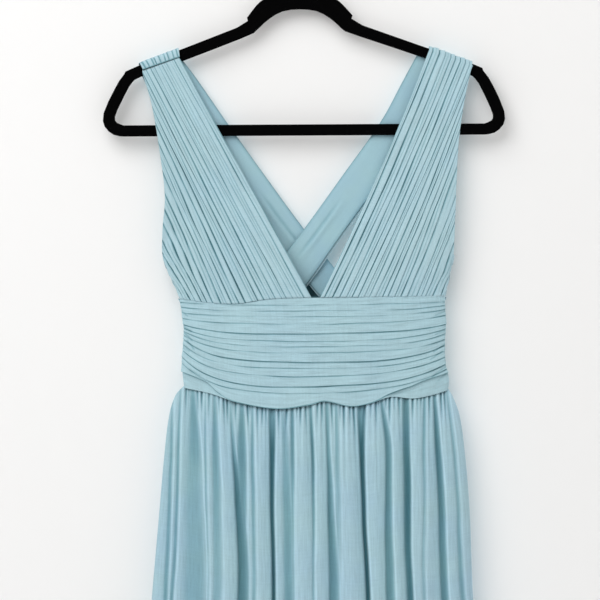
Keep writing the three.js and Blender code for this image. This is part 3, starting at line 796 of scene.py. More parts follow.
@dataclass
class Waistband:
    """Ruched waist panel: tucks that sag in the middle and turn up to the side seams.

    In front the ruching is an overlay whose own edge parts from the plain strip below it at both ends. The
    back panel's upper edge has a low peak between the straps, whose inside is painted dark as shadow in the
    V.
    """

    facing: Facing
    tucks: tuple[Tuck, ...]
    crumples: tuple[Crumple, ...]
    material: bpy.types.Material
    inside: bpy.types.Material
    columns: int = 190
    steps: tuple[float, ...] = (0.0, 0.05, 0.1, 0.16, 0.24, 0.36, 0.52, 0.68, 0.82, 0.91, 0.96)
    peak_rise: float = 16.0
    peak_x: float = 4.0
    peak_reach: float = 28.0
    shadow_x: float = 8.0
    shadow_reach: float = 10.0
    notch_reach: float = 0.85
    lip_reach: float = 0.4
    pucker_reach: float = 7.0
    wall: float = 0.8
    overhang: float = 1.1

    def lines(self, u: Array) -> list[Array]:
        """Levels of the waist seam, each tuck, the overlay's edge and the hem, from the top down.

        Args:
            u: shares round the half.

        Returns:
            The levels, one row each.
        """
        x = BAND_MIDDLE_X - BAND_REACH * np.cos(np.pi * u)
        hem = band_hem_level(self.facing, u)
        if self.facing is Facing.FRONT:
            top = waist_seam_level(x)
        else:
            top = BAND_TOP + self.peak_rise * np.exp(-(((x - self.peak_x) / self.peak_reach) ** 2))
        levels = [top]
        for i, tuck in enumerate(self.tucks):
            jitter = 0.5 * soft_noise(u, 40 + i, 4, 0.5) * np.sin(np.pi * u)
            levels.append(BAND_TOP - tuck.drop(x) + jitter)
        keys, rises = columns_of(OVERLAY_RISES)
        levels.append(hem + read(keys, rises, x))
        return [*levels, hem]

    def build(self) -> bpy.types.Object:
        """Lays the rows of the mesh along the tucks, so each fold's edge is one row of it.

        Between two tucks the cloth climbs outwards by relief * phase^1.2 and drops in at the fold's edge,
        which faces down. x runs round half an ellipse, y = gap + depth * sin(angle).

        Returns:
            The finished panel.
        """
        u = crowded_shares(self.columns)[None, :]
        levels = self.lines(u)
        last = len(levels) - 2
        phase = np.append(np.tile(self.steps, last + 1), 1.0)[:, None]
        tuck = np.append(np.repeat(np.arange(last + 1), len(self.steps)), last)
        above, below = np.concatenate(levels[:-1])[tuck], np.concatenate(levels[1:])[tuck]
        z = above + (below - above) * phase
        height = np.maximum(above - below, 0.1)
        v = np.clip((z - BAND_TOP) / (levels[-1] - BAND_TOP), 0.0, 1.0)
        at, left, right = columns_of(BAND_SIDES)
        low_x, high_x = read(at, left, v), read(at, right, v)
        angle = np.pi * u
        x = (low_x + high_x) / 2 - (high_x - low_x) / 2 * np.cos(angle)
        sign = self.facing.value
        y = sign * (SEAM_GAP / 2 + WAIST_DEPTH * np.sin(angle))
        points = np.stack(np.broadcast_arrays(x, y, z), axis=-1)
        outwards = -np.cos(angle) * WAIST_DEPTH / BAND_HALF_WIDTH
        normal = np.stack([outwards, sign * np.sin(angle), np.zeros_like(angle)], axis=-1)
        normal /= np.linalg.norm(normal, axis=-1, keepdims=True)
        marked = np.array([0.0, *(row.line for row in self.tucks), 1.0, 0.0])
        ends = 1 - ease(np.sin(angle), 0.2, 0.75)

        def strength(which: Array) -> Array:
            """How marked a tuck's line is along its length: more at the side seams, with a slow wave.

            Args:
                which: each row's tuck.

            Returns:
                The strength at each point, from 0 to 1.3.
            """
            line = marked[which][:, None]
            wave = 0.33 * soft_noise(1.4 * u + 0.37 * which[:, None], 61, 5, 0.6)
            inner, outer = 0.12 + 0.78 * line, 0.55 + 0.4 * line
            return np.clip(inner * (1 - ends) + outer * ends + wave, 0.0, 1.3)

        here, following = strength(tuck), strength(np.minimum(tuck + 1, last + 1))
        relief = 0.9 + 0.45 * marked[np.minimum(tuck + 1, last + 1)][:, None]
        notch = np.exp(-((phase * height / self.notch_reach) ** 2)) * (tuck[:, None] > 0)
        lip = np.exp(-(((1 - phase) * height / self.lip_reach) ** 2)) * (tuck[:, None] < last)
        climb = (0.3 + 0.7 * phase ** 1.2) * (0.7 + 0.45 * following)
        swell = 0.45 * soft_noise(1.3 * u + 2.2 * v, 62, 4, 0.8)
        at_seam = np.exp(-(((z - levels[0]) / self.pucker_reach) ** 2))
        puckers = 0.3 * soft_noise(30.0 * u, 64, 4, 1.0) * at_seam
        side = ease(np.sin(angle), 0.0, 0.12)
        drop = BAND_TOP - z
        crumpled = sum((row.sink(x, drop) for row in self.crumples), np.zeros(z.shape))
        raised = relief * (climb - 0.75 * notch * here) + swell + puckers - 0.9 * crumpled
        raised = (self.wall + raised) * (0.2 + 0.8 * side)
        if self.facing is Facing.FRONT:
            free = levels[-2] - levels[-1]
            parted = ease(free, 1.5, 5.0)
            edge_row = raised[last * len(self.steps) - 1]
            strip = 0.25 - 0.5 * crumpled
            raised = np.where(tuck[:, None] == last, edge_row + (strip - edge_row) * parted, raised)
            raised = raised + self.overhang * parted * side * (tuck[:, None] == last - 1) * phase
        else:
            raised = raised + 2.0 * ease(z, BAND_TOP - 5.0, BAND_TOP + 1.0)
        # Painted shade in each tuck's notch, under each fold's lip and along the crumples.
        painted_shade = 0.66 * notch * here + 0.44 * lip * following + 0.3 * np.clip(crumpled, 0.0, 1.0)
        # Painted shadow inside the back's peak, where it shows in the V between the straps.
        shadow = np.exp(-(((x - self.shadow_x) / self.shadow_reach) ** 2))
        painted_gap_shade = ease(z, BAND_TOP, BAND_TOP + 2.0) * shadow
        node = f"waistband_{self.facing.name.lower()}"
        carrier = "bodice_front_left_pleated" if self.facing is Facing.FRONT else "back_strap_left_pleated"
        return ClothSheet(
            name=f"{node}_ruched", node=node, points=points + normal * raised[..., None],
            outside=np.array([0.0, float(sign), 0.0]), flat=(0.31, 0.122), held="gathered",
            rests_on=[carrier], slot="cloth", painted_shade=np.clip(painted_shade, 0, 1), inside=self.inside,
            extra_masks={"painted_gap_shade": painted_gap_shade},
        ).build(self.material)


# Skirt


# Each row: drop below the seam, the left side's X, the right side's X, half depth
SKIRT_SECTIONS = [(0, -133.9, 157.4, 13.5), (10, -143.5, 163.5, 15.5), (32, -151, 171, 18),
                  (78, -157, 177, 21), (137, -162.5, 181.4, 24), (235, -171.6, 184.8, 28),
                  (480, -192, 203, 34), (780, -217, 226, 41), (1109, -240, 247, 47)]

FOLD_DROPS = (6.0, 52.0, 108.0, 214.0, SKIRT_DROP)


@dataclass(frozen=True)
class Fold:
    """One falling trough: its edges and depth at FOLD_DROPS, and how softly each edge turns in."""

    left: tuple[float, ...]
    right: tuple[float, ...]
    depth: tuple[float, ...]
    softness: tuple[float, float]
    sway: float = 0.6
    sway_length: float = 260.0
    flank_reach: float = 9.0
    ridge_away: float = 1.9
    ridge_reach: float = 1.15

    def sink(self, x: Array, drop: Array) -> tuple[Array, Array, Array]:
        """Depth of the trough: depth * (1 + tanh(way in from an edge / softness)) / 2, for both edges.

        Args:
            x: places across.
            drop: drops below the seam.

        Returns:
            The depth in millimetres, a shade from 0 to about 1 that is darkest where it is deep and narrow,
            and a mask of the lit ridge beside its right edge.
        """
        left, right = read(FOLD_DROPS, self.left, drop), read(FOLD_DROPS, self.right, drop)
        depth = np.maximum(read(FOLD_DROPS, self.depth, drop), 0.0)
        seed = int(abs(self.left[0]) * 7) + 3
        sway = self.sway * soft_noise(drop, seed, 4, self.sway_length) * ease(drop, 10, 120)
        grow = 1.0 + 0.5 * ease(drop, FOLD_DROPS[3], SKIRT_DROP)
        in_left = 0.5 + 0.5 * np.tanh((x - left - sway) / (self.softness[0] * grow))
        in_right = 0.5 + 0.5 * np.tanh((right + sway - x) / (self.softness[1] * grow))
        width = np.maximum(right - left, 1.0)
        narrow = np.clip(1.25 - 0.045 * width, 0.5, 1.1)
        inside = in_left * in_right
        reach = self.flank_reach * grow
        before = np.clip((left + sway - x) / reach, 0.0, None)
        after = np.clip((x - right - sway) / reach, 0.0, None)
        flank = 0.30 * np.exp(-(before ** 2)) * np.exp(-(after ** 2))
        # Painted shade on the flank that faces away from the light, beside each trough.
        away = 0.16 * np.exp(-before * 1.4) * np.exp(-((after * 6.0) ** 2))
        # Painted shade in the trough, darkest where it is deep and narrow.
        shade = np.clip(depth / 7.0, 0.0, 1.0) ** 0.8 * narrow * inside ** 1.4
        shade = np.maximum(shade, away * np.clip(depth / 4.0, 0.0, 1.2))
        # Painted highlight on the lit ridge beside the right edge.
        ridge = (x - right - sway - self.ridge_away * grow) / (self.ridge_reach * grow)
        lit = np.exp(-(ridge ** 2)) * np.clip(depth / 3.5, 0.0, 1.0)
        return depth * ((1.0 - flank) * inside + flank), shade, lit


# A gather's row: its place at the seam, its drift in 60 mm, its depth and its length
Gather = tuple[float, float, float, float]


@dataclass
class SkirtPanel:
    """Gathered skirt panel: many short gathers under the waistband run out into a few falling folds."""

    facing: Facing
    falling: tuple[Fold, ...]
    gathers: tuple[Gather, ...]
    material: bpy.types.Material
    columns: int = 500
    rows: int = 97
    flow_drop: float = FOLD_DROPS[1]
    puff_reach: float = 2.4
    puff_away: float = 2.3
    wall: float = 0.8
    tucked: float = 1.2
    hem_wall: float = 0.45

    def down(self) -> Array:
        """Drops of the mesh's rows as shares: 0.12 * share + 0.88 * share^2.6, and a few rows at the hem.

        Returns:
            The shares, closest together under the seam and at the hem.
        """
        share = np.linspace(0.0, 1.0, self.rows - len(HEM_ROWS))
        eased = 0.12 * share + 0.88 * share ** 2.6
        return np.sort(np.concatenate([eased, 1.0 - np.array(HEM_ROWS) / SKIRT_DROP]))

    def flow(self, drop: Array) -> Array:
        """Places of the columns at each drop: each keeps its share of the way between the folds' left edges.

        Args:
            drop: drops of the rows, one column.

        Returns:
            X of every point of the grid.
        """
        at, left, right = columns_of(SKIRT_SECTIONS)[:3]
        within = [fold for fold in self.falling if left[0] < fold.left[0] < right[0]]

        def knots(level: Array) -> Array:
            """The side edges and the folds' left edges at given drops, from left to right.

            Args:
                level: the drops.

            Returns:
                One row of places for each drop.
            """
            inner = [read(FOLD_DROPS, fold.left, level) for fold in within]
            return np.stack([read(at, left, level), *inner, read(at, right, level)], axis=-1)

        start = knots(np.array([self.flow_drop]))[0]
        middle, half = (start[0] + start[-1]) / 2, (start[-1] - start[0]) / 2
        places = middle - half * np.cos(np.pi * crowded_shares(self.columns))
        return np.stack([np.interp(places, start, row) for row in knots(drop[:, 0])])

    def folds(self, x: Array, drop: Array) -> tuple[Array, Array, Array]:
        """Depth, shade and lit ridges of all falling folds and short gathers.

        A gather is a drop-shaped nick: depth * exp(-|s|^1.8) * fade, with s the distance from its middle over
        a half width that narrows downwards, and a bell puff_reach times as wide that rounds the puffs beside
        it. fade falls evenly to 0 at 1.5 times its length, and a faint tail runs on three times as far.

        Args:
            x: places across.
            drop: drops below the seam.

        Returns:
            The depth in millimetres, a mask of painted shade in the deep places and a mask of painted
            highlight on the lit ones.
        """
        total, mask, light = (np.zeros(np.broadcast(x, drop).shape) for _ in range(3))
        for fold in self.falling:
            depth, shade, lit = fold.sink(x, drop)
            total = np.maximum(total, depth) + 0.3 * np.minimum(total, depth)
            mask, light = np.maximum(mask, shade), np.maximum(light, lit)
        for place, drift, depth, length in self.gathers:
            share = np.clip(depth / 4.6, 0.0, 1.0)
            fade = np.clip(1 - drop / (1.5 * length), 0.0, 1.0)
            tail = np.clip(1 - drop / (4.5 * length), 0.0, 1.0)
            centre = place + drift * drop / 60.0
            away = np.abs(x - centre) / (0.6 + 0.55 * fade)
            bell = np.exp(-away ** 1.8) * fade
            round_off = np.exp(-(away / self.puff_reach) ** 2) * tail
            total = total + depth * (bell + 0.38 * round_off) * (1 - 0.5 * np.clip(total / 5.0, 0, 1))
            # Painted shade in each gather's nick and faint tail, and a painted highlight on the puff beside
            # it.
            faint = 0.2 * share * np.exp(-away ** 2) * tail
            mask = np.maximum(mask, np.maximum(0.95 * share ** 1.6 * bell, faint))
            ridge = np.exp(-((x - centre - self.puff_away) ** 2)) * tail
            light = np.maximum(light, share * ridge)
        return total, np.clip(mask, 0, 1), np.clip(light - 1.5 * mask, 0, 1)

    def build(self) -> bpy.types.Object:
        """Hangs the panel: an ellipse that widens downwards, sunk by the folds.

        y = gap + depth * sqrt(1 - share across^2) - folds, and z runs evenly down from the seam.

        Returns:
            The finished panel.
        """
        drop = SKIRT_DROP * self.down()[:, None]
        at, left, right, depths = columns_of(SKIRT_SECTIONS)
        low_x, high_x, depth = read(at, left, drop), read(at, right, drop), read(at, depths, drop)
        x = self.flow(drop)
        share = np.clip((2 * x - low_x - high_x) / (high_x - low_x), -1.0, 1.0)
        round_out = np.sqrt(1.0 - share * share)
        sign = self.facing.value
        seam = band_hem_level(self.facing, np.arccos(-share) / np.pi) + 3.0
        z = seam + (HEM_Z - seam) * drop / SKIRT_DROP
        fold, mask, light = self.folds(x, drop)
        side, near = ease(round_out, 0.0, 0.35), ease(round_out, 0.0, 0.12)
        fold = fold * np.minimum(side + 0.25 * near, 1.0)
        waves = 0.5 * soft_noise(x / 60.0 + drop / 900.0, 71, 4, 1.0) * ease(drop, 20, 200)
        hem = self.hem_wall * ease(drop, SKIRT_DROP - HEM_STITCH, SKIRT_DROP - HEM_STITCH + 1.0)
        # Painted shade: the skirt's colour a little darker over the top 80 mm, except on lit ridges.
        mask = np.clip(mask + 0.055 * ease(drop, 0.0, 80.0) * (1 - light), 0.0, 1.0)
        tucked = self.tucked * (1 - ease(drop, 0.0, 7.0)) * side
        y = sign * (SEAM_GAP / 2 + depth * round_out + (self.wall + waves + hem) * side - fold - tucked)
        half = self.facing.name.lower()
        return ClothSheet(
            name=f"skirt_{half}_gathered", node=f"skirt_{half}", points=np.stack([x, y, z], axis=-1),
            outside=np.array([0.0, float(sign), 0.0]), flat=(0.54, 1.12), area=0.5, held="gathered",
            rests_on=[f"waistband_{half}_ruched"], slot="cloth", painted_shade=mask, extra_masks={"lit": light},
        ).build(self.material)


# Hook


@dataclass
class Hook:
    """Round steel wire that leaves the hanger's neck and bends over the rail."""

    wire: float = 3.4
    radius: float = 20.0
    tip_degrees: float = -35.0
    leaves_degrees: float = 215.0
    neck_z: float = -77.3
    around: int = 20
    bends: int = 13
    rings: int = 110
    tip_rings: int = 5

    def path(self) -> Array:
        """Middle line: straight up the neck, swinging out to the crook's circle and round it to the tip.

        Returns:
            The points that the wire passes through.
        """
        radius = self.radius + self.wire / 2
        angle = np.radians(np.linspace(self.leaves_degrees, self.tip_degrees, self.bends))
        height = -self.radius + radius * np.sin(angle)
        turn = np.stack([radius * np.cos(angle), np.zeros_like(angle), height], axis=1)
        return np.concatenate([[[0, 0, self.neck_z - 3.0], [0, 0, self.neck_z + 12.0]], turn])

    def smooth(self, points: Array, count: int) -> Array:
        """Evenly spaced points on a centripetal cubic through the given ones.

        Args:
            points: points to pass through.
            count: how many to return.

        Returns:
            The points, in order.
        """
        gaps = np.sqrt(np.linalg.norm(np.diff(points, axis=0), axis=1))
        key = np.concatenate([[0.0], np.cumsum(gaps)])
        fine = np.linspace(0, key[-1], count * 4)
        line = np.stack([read(key, points[:, i], fine) for i in range(3)], axis=1)
        length = np.concatenate([[0.0], np.cumsum(np.linalg.norm(np.diff(line, axis=0), axis=1))])
        even = np.linspace(0, length[-1], count)
        return np.stack([np.interp(even, length, line[:, i]) for i in range(3)], axis=1)

    def build(self, material: bpy.types.Material) -> bpy.types.Object:
        """Carries a circle along the path, right-handed about it so that the faces look outwards.

        The tip is drawn in to a rounded end: radius * sqrt(1 - share^2) over the last rings.

        Args:
            material: the polished steel.

        Returns:
            The finished hook.
        """
        line = self.smooth(self.path(), self.rings)
        along = np.gradient(line, axis=0)
        along /= np.linalg.norm(along, axis=1, keepdims=True)
        side = np.array([0.0, 1.0, 0.0])
        other = np.cross(along, side)
        turn = np.linspace(0, 2 * np.pi, self.around, endpoint=False)
        size = np.full(len(line), self.wire / 2)
        size[-self.tip_rings:] *= np.sqrt(1 - np.linspace(0, 0.985, self.tip_rings) ** 2)
        circles = np.cos(turn)[None, :, None] * side + np.sin(turn)[None, :, None] * other[:, None, :]
        rings = line[:, None, :] + size[:, None, None] * circles
        rows, count = rings.shape[:2]
        ids = np.arange(rows * count).reshape(rows, count)
        ahead = np.roll(ids, -1, 1)
        quads = np.stack([ids[:-1], ahead[:-1], ahead[1:], ids[1:]], -1).reshape(-1, 4)
        mesh = bpy.data.meshes.new("hook_wire_bent")
        mesh.from_pydata((rings.reshape(-1, 3) * MM).tolist(), [],
                         [*quads.tolist(), ids[0, ::-1].tolist(), ids[-1].tolist()])
        mesh.polygons.foreach_set("use_smooth", np.ones(len(mesh.polygons), bool))
        mesh.update()
        piece = bpy.data.objects.new("hook_wire_bent", mesh)
        bpy.context.scene.collection.objects.link(piece)
        mesh.materials.append(material)
        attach(piece, "root")
        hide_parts("hanger_hook")
        LOG.info("hook: %d faces", len(mesh.polygons))
        return piece


# Finishes


def feed(tree: bpy.types.NodeTree, socket: bpy.types.NodeSocket, value: object) -> None:
    """Gives a node's input a number, an RGB or another node's output.

    Args:
        tree: the tree that both are in.
        socket: the input.
        value: the number, RGB or output socket.
    """
    if isinstance(value, (int, float)):
        socket.default_value = value
    elif isinstance(value, tuple):
        socket.default_value = (*value, 1.0)
    else:
        tree.links.new(value, socket)


def new_group(name: str, inputs: dict[str, float], outputs: Sequence[str]) -> bpy.types.ShaderNodeTree:
    """Starts a shader node group with number inputs and number outputs.

    Args:
        name: the group's name.
        inputs: each input's name and default value.
        outputs: each output's name.

    Returns:
        The group, with its input and output nodes in place.
    """
    tree = bpy.data.node_groups.new(name, "ShaderNodeTree")
    for label, value in inputs.items():
        socket = tree.interface.new_socket(label, in_out="INPUT", socket_type="NodeSocketFloat")
        socket.default_value = value
    for label in outputs:
        tree.interface.new_socket(label, in_out="OUTPUT", socket_type="NodeSocketFloat")
    tree.nodes.new("NodeGroupInput").name = "In"
    tree.nodes.new("NodeGroupOutput").name = "Out"
    return tree


def new_material(name: str, settings: dict[str, float]) -> tuple[bpy.types.Material, bpy.types.Node]:
    """Starts a material on a Principled shader.

    Args:
        name: the material's name.
        settings: values of the shader's inputs, by name.

    Returns:
        The material and its shader node.
    """
    material = bpy.data.materials.new(name)
    material.use_nodes = True
    shader = material.node_tree.nodes["Principled BSDF"]
    for label, value in settings.items():
        shader.inputs[label].default_value = value
    return material, shader


def math_node(tree: bpy.types.NodeTree, kind: str, a: object, b: object = 0.0) -> bpy.types.NodeSocket:
    """Adds a Math node.

    Args:
        tree: the tree to add it to.
        kind: the operation.
        a: a socket or a number.
        b: a socket or a number.

    Returns:
        Its output socket.
    """
    node = tree.nodes.new("ShaderNodeMath")
    node.operation = kind
    for i, value in enumerate((a, b)):
        feed(tree, node.inputs[i], value)
    return node.outputs[0]


def noise_node(tree: bpy.types.NodeTree, places: bpy.types.NodeSocket, scale: object,
               detail: float = 2.0, roughness: float = 0.5) -> bpy.types.NodeSocket:
    """Adds a noise texture.

    Args:
        tree: the tree to add it to.
        places: where it is read.
        scale: waves per unit, a socket or a number.
        detail: how many finer layers it has.
        roughness: how strong they are.

    Returns:
        Its value's socket.
    """
    node = tree.nodes.new("ShaderNodeTexNoise")
    for label, value in {"Vector": places, "Scale": scale, "Detail": detail, "Roughness": roughness}.items():
        feed(tree, node.inputs[label], value)
    return node.outputs[0]


def object_places(tree: bpy.types.NodeTree) -> bpy.types.NodeSocket:
    """Adds the object's own coordinates, in metres."""
    return tree.nodes.new("ShaderNodeTexCoord").outputs["Object"]


def cloth_places(tree: bpy.types.NodeTree) -> tuple[bpy.types.NodeSocket, Sequence[bpy.types.NodeSocket]]:
    """Adds the cloth's UV map, in metres across and down.

    Args:
        tree: the tree to add it to.

    Returns:
        The map's socket, and the outputs of its split into across and down.
    """
    uv = tree.nodes.new("ShaderNodeUVMap")
    uv.uv_map = "Cloth"
    split = tree.nodes.new("ShaderNodeSeparateXYZ")
    tree.links.new(uv.outputs[0], split.inputs[0])
    return uv.outputs[0], split.outputs


def add_bump(tree: bpy.types.NodeTree, shader: bpy.types.Node, height: bpy.types.NodeSocket,
             distance: float, strength: float) -> None:
    """Raises a shader's surface by a height.

    Args:
        tree: the material's tree.
        shader: the shader.
        height: the height's socket.
        distance: the greatest height in metres.
        strength: the share of it that is used.
    """
    bump = tree.nodes.new("ShaderNodeBump")
    bump.inputs["Distance"].default_value = distance
    bump.inputs["Strength"].default_value = strength
    tree.links.new(height, bump.inputs["Height"])
    tree.links.new(bump.outputs[0], shader.inputs["Normal"])


class Effects:
    """Effects that several finishes share, each built once as a node group."""

    def __init__(self) -> None:
        """Builds the groups."""
        self.crepe = self.make_crepe()
        self.cloud = self.make_cloud()
        self.slub = self.make_slub()

    @staticmethod
    def make_crepe() -> bpy.types.ShaderNodeTree:
        """Crepe grain: fine pebbling with warp and weft threads, read on the cloth's own UV map.

        Returns:
            A group with Height and Fleck outputs.
        """
        settings = {"Pebble per metre": 900.0, "Threads per metre": 1400.0}
        tree = new_group("Crepe grain", settings, ["Height", "Fleck"])
        start, end, link = tree.nodes["In"], tree.nodes["Out"], tree.links.new
        places, split = cloth_places(tree)
        pebble = noise_node(tree, places, start.outputs[0], roughness=0.6)
        warp, weft = (
            math_node(tree, "SINE", math_node(
                tree, "MULTIPLY", math_node(tree, "MULTIPLY", split[i], start.outputs[1]), 2 * math.pi))
            for i in range(2)
        )
        threads = math_node(tree, "MULTIPLY", warp, weft)
        height = math_node(tree, "ADD", pebble, math_node(tree, "MULTIPLY", threads, 0.12))
        link(height, end.inputs[0])
        link(pebble, end.inputs[1])
        return tree

    @staticmethod
    def make_slub() -> bpy.types.ShaderNodeTree:
        """Thick and thin threads: one noise drawn out down the cloth and one drawn out across it.

        Returns:
            A group with Down and Across outputs.
        """
        settings = {"Threads per metre": 520.0, "Lengths per metre": 34.0}
        tree = new_group("Uneven threads", settings, ["Down", "Across"])
        start, end, link = tree.nodes["In"], tree.nodes["Out"], tree.links.new
        split = cloth_places(tree)[1]
        for i, (fine, long) in enumerate(((0, 1), (1, 0))):
            join = tree.nodes.new("ShaderNodeCombineXYZ")
            link(math_node(tree, "MULTIPLY", split[fine], start.outputs[0]), join.inputs[fine])
            link(math_node(tree, "MULTIPLY", split[long], start.outputs[1]), join.inputs[long])
            link(noise_node(tree, join.outputs[0], 1.0), end.inputs[i])
        return tree

    @staticmethod
    def make_cloud() -> bpy.types.ShaderNodeTree:
        """Slow unevenness of a dyed cloth, in object space.

        Returns:
            A group with a Cloud output.
        """
        tree = new_group("Dye cloud", {"Clouds per metre": 18.0}, ["Cloud"])
        cloud = noise_node(tree, object_places(tree), tree.nodes["In"].outputs[0], detail=3.0)
        tree.links.new(cloud, tree.nodes["Out"].inputs[0])
        return tree


def mix_colour(tree: bpy.types.NodeTree, share: object, first: object, second: object,
               blend: str = "MIX") -> bpy.types.NodeSocket:
    """Adds a colour mix.

    Args:
        tree: the tree to add it to.
        share: how much of the second, a socket or a number.
        first: a colour socket or an RGB.
        second: a colour socket or an RGB.
        blend: the way of mixing.

    Returns:
        The mixed colour's socket.
    """
    node = tree.nodes.new("ShaderNodeMix")
    node.data_type, node.blend_type = "RGBA", blend
    for socket, value in ((node.inputs[0], share), (node.inputs[6], first), (node.inputs[7], second)):
        feed(tree, socket, value)
    return node.outputs[2]


def linear(red: int, green: int, blue: int) -> tuple[float, float, float]:
    """Turns a screen colour of 0 to 255 into linear light: ((c + 0.055) / 1.055)^2.4 above the toe."""
    shares = (channel / 255 for channel in (red, green, blue))
    return tuple(c / 12.92 if c <= 0.04045 else ((c + 0.055) / 1.055) ** 2.4 for c in shares)


@dataclass(frozen=True)
class ClothFinish:
    """Dyed cloth: colour, painted shade as the share of each light left in folds, painted highlight, grain,
    sheen.
    """

    name: str
    colour: tuple[float, float, float]
    cool: tuple[float, float, float]
    deep: tuple[float, float, float]
    painted_shade_strength: float = 1.0
    lit_share: float = 0.14
    grain_height: float = 0.00022
    pebble: float = 900.0
    down: float = 0.3
    across: float = 0.18
    sheen: float = 0.2
    roughness: float = 0.82
    # Attribute whose mask of painted shade this finish reads.
    mask: str = "painted_shade"
    dye_range: tuple[float, float] = (0.36, 0.72)
    fleck: float = 0.22
    half_way: float = 0.42
    half_power: float = 0.36

    def make(self, effects: Effects) -> bpy.types.Material:
        """Builds the material: cloth colour, with painted shade in creases, flecks of the grain, and raised
        by it.

        The flecks multiply the colour by 1 + share * (noise - 0.5) for each of the grain and both threads,
        and a painted highlight adds lit_share times the lit mask to that factor.

        Args:
            effects: the shared node groups.

        Returns:
            The material.
        """
        material, shader = new_material(self.name, {
            "Roughness": self.roughness, "Specular IOR Level": 0.25, "Sheen Weight": self.sheen,
            "Sheen Roughness": 0.45})
        tree = material.node_tree
        crepe, cloud, slub = (tree.nodes.new("ShaderNodeGroup") for _ in range(3))
        crepe.node_tree, cloud.node_tree, slub.node_tree = effects.crepe, effects.cloud, effects.slub
        crepe.inputs[0].default_value = self.pebble
        # Painted shade: an attribute mask darkens the colour towards the deep colour.
        painted_shade = tree.nodes.new("ShaderNodeAttribute")
        painted_shade.attribute_name = self.mask
        share = tree.nodes.new("ShaderNodeMapRange")
        share.inputs["From Min"].default_value, share.inputs["From Max"].default_value = self.dye_range
        tree.links.new(cloud.outputs[0], share.inputs["Value"])
        base = mix_colour(tree, share.outputs[0], self.colour, self.cool)
        threads = math_node(tree, "ADD", math_node(tree, "MULTIPLY", slub.outputs[0], self.down),
                            math_node(tree, "MULTIPLY", slub.outputs[1], self.across))
        fleck = math_node(tree, "ADD", math_node(tree, "MULTIPLY", crepe.outputs[1], self.fleck), threads)
        fleck = math_node(tree, "ADD", fleck, 1.0 - 0.5 * (self.fleck + self.down + self.across))
        # Painted highlight: the lit attribute brightens the colour on lit ridges.
        lit = tree.nodes.new("ShaderNodeAttribute")
        lit.attribute_name = "lit"
        fleck = math_node(tree, "ADD", fleck, math_node(tree, "MULTIPLY", lit.outputs["Fac"], self.lit_share))
        grain_and_highlight = tree.nodes.new("ShaderNodeVectorMath")
        grain_and_highlight.operation = "SCALE"
        tree.links.new(base, grain_and_highlight.inputs[0])
        tree.links.new(fleck, grain_and_highlight.inputs["Scale"])
        shade = tree.nodes.new("ShaderNodeValToRGB")
        tree.links.new(math_node(tree, "MULTIPLY", painted_shade.outputs["Fac"], self.painted_shade_strength), shade.inputs[0])
        shade.color_ramp.elements[0].color = (1, 1, 1, 1)
        shade.color_ramp.elements[1].color = (*self.deep, 1)
        half = shade.color_ramp.elements.new(self.half_way)
        half.color = (*(c ** self.half_power for c in self.deep), 1)
        deepened = mix_colour(tree, 1.0, grain_and_highlight.outputs[0], shade.outputs[0], "MULTIPLY")
        tree.links.new(deepened, shader.inputs["Base Color"])
        height = math_node(tree, "ADD", crepe.outputs[0], math_node(tree, "MULTIPLY", threads, 3.0))
        add_bump(tree, shader, height, self.grain_height, 0.6)
        return material


@dataclass(frozen=True)
class FlockFinish:
    """Short black flock on the hanger."""

    name: str = "Black flock"
    colour: tuple[float, float, float] = (0.0008, 0.0008, 0.0009)

    def make(self) -> bpy.types.Material:
        """Builds the material: near black with a fine pile that catches a little light at its edges.

        Returns:
            The material.
        """
        material, shader = new_material(self.name, {"Roughness": 0.95, "Specular IOR Level": 0.02})
        tree = material.node_tree
        pile = noise_node(tree, object_places(tree), 2600.0)
        shade = mix_colour(tree, pile, self.colour, tuple(c * 2.2 for c in self.colour))
        tree.links.new(shade, shader.inputs["Base Color"])
        add_bump(tree, shader, pile, 0.0002, 0.5)
        return material


@dataclass(frozen=True)
class SteelFinish:
    """Polished hook wire with faint drawing marks."""

    name: str = "Polished wire"

    def make(self) -> bpy.types.Material:
        """Builds the material: bright metal whose roughness varies a little along the wire.

        Returns:
            The material.
        """
        material, shader = new_material(self.name, {"Metallic": 1.0})
        tree = material.node_tree
        marks = noise_node(tree, object_places(tree), 420.0)
        shade = mix_colour(tree, marks, (0.62, 0.63, 0.65), (0.74, 0.75, 0.77))
        tree.links.new(shade, shader.inputs["Base Color"])
        rough = math_node(tree, "ADD", math_node(tree, "MULTIPLY", marks, 0.12), 0.12)
        tree.links.new(rough, shader.inputs["Roughness"])
        return material


# Studio and camera


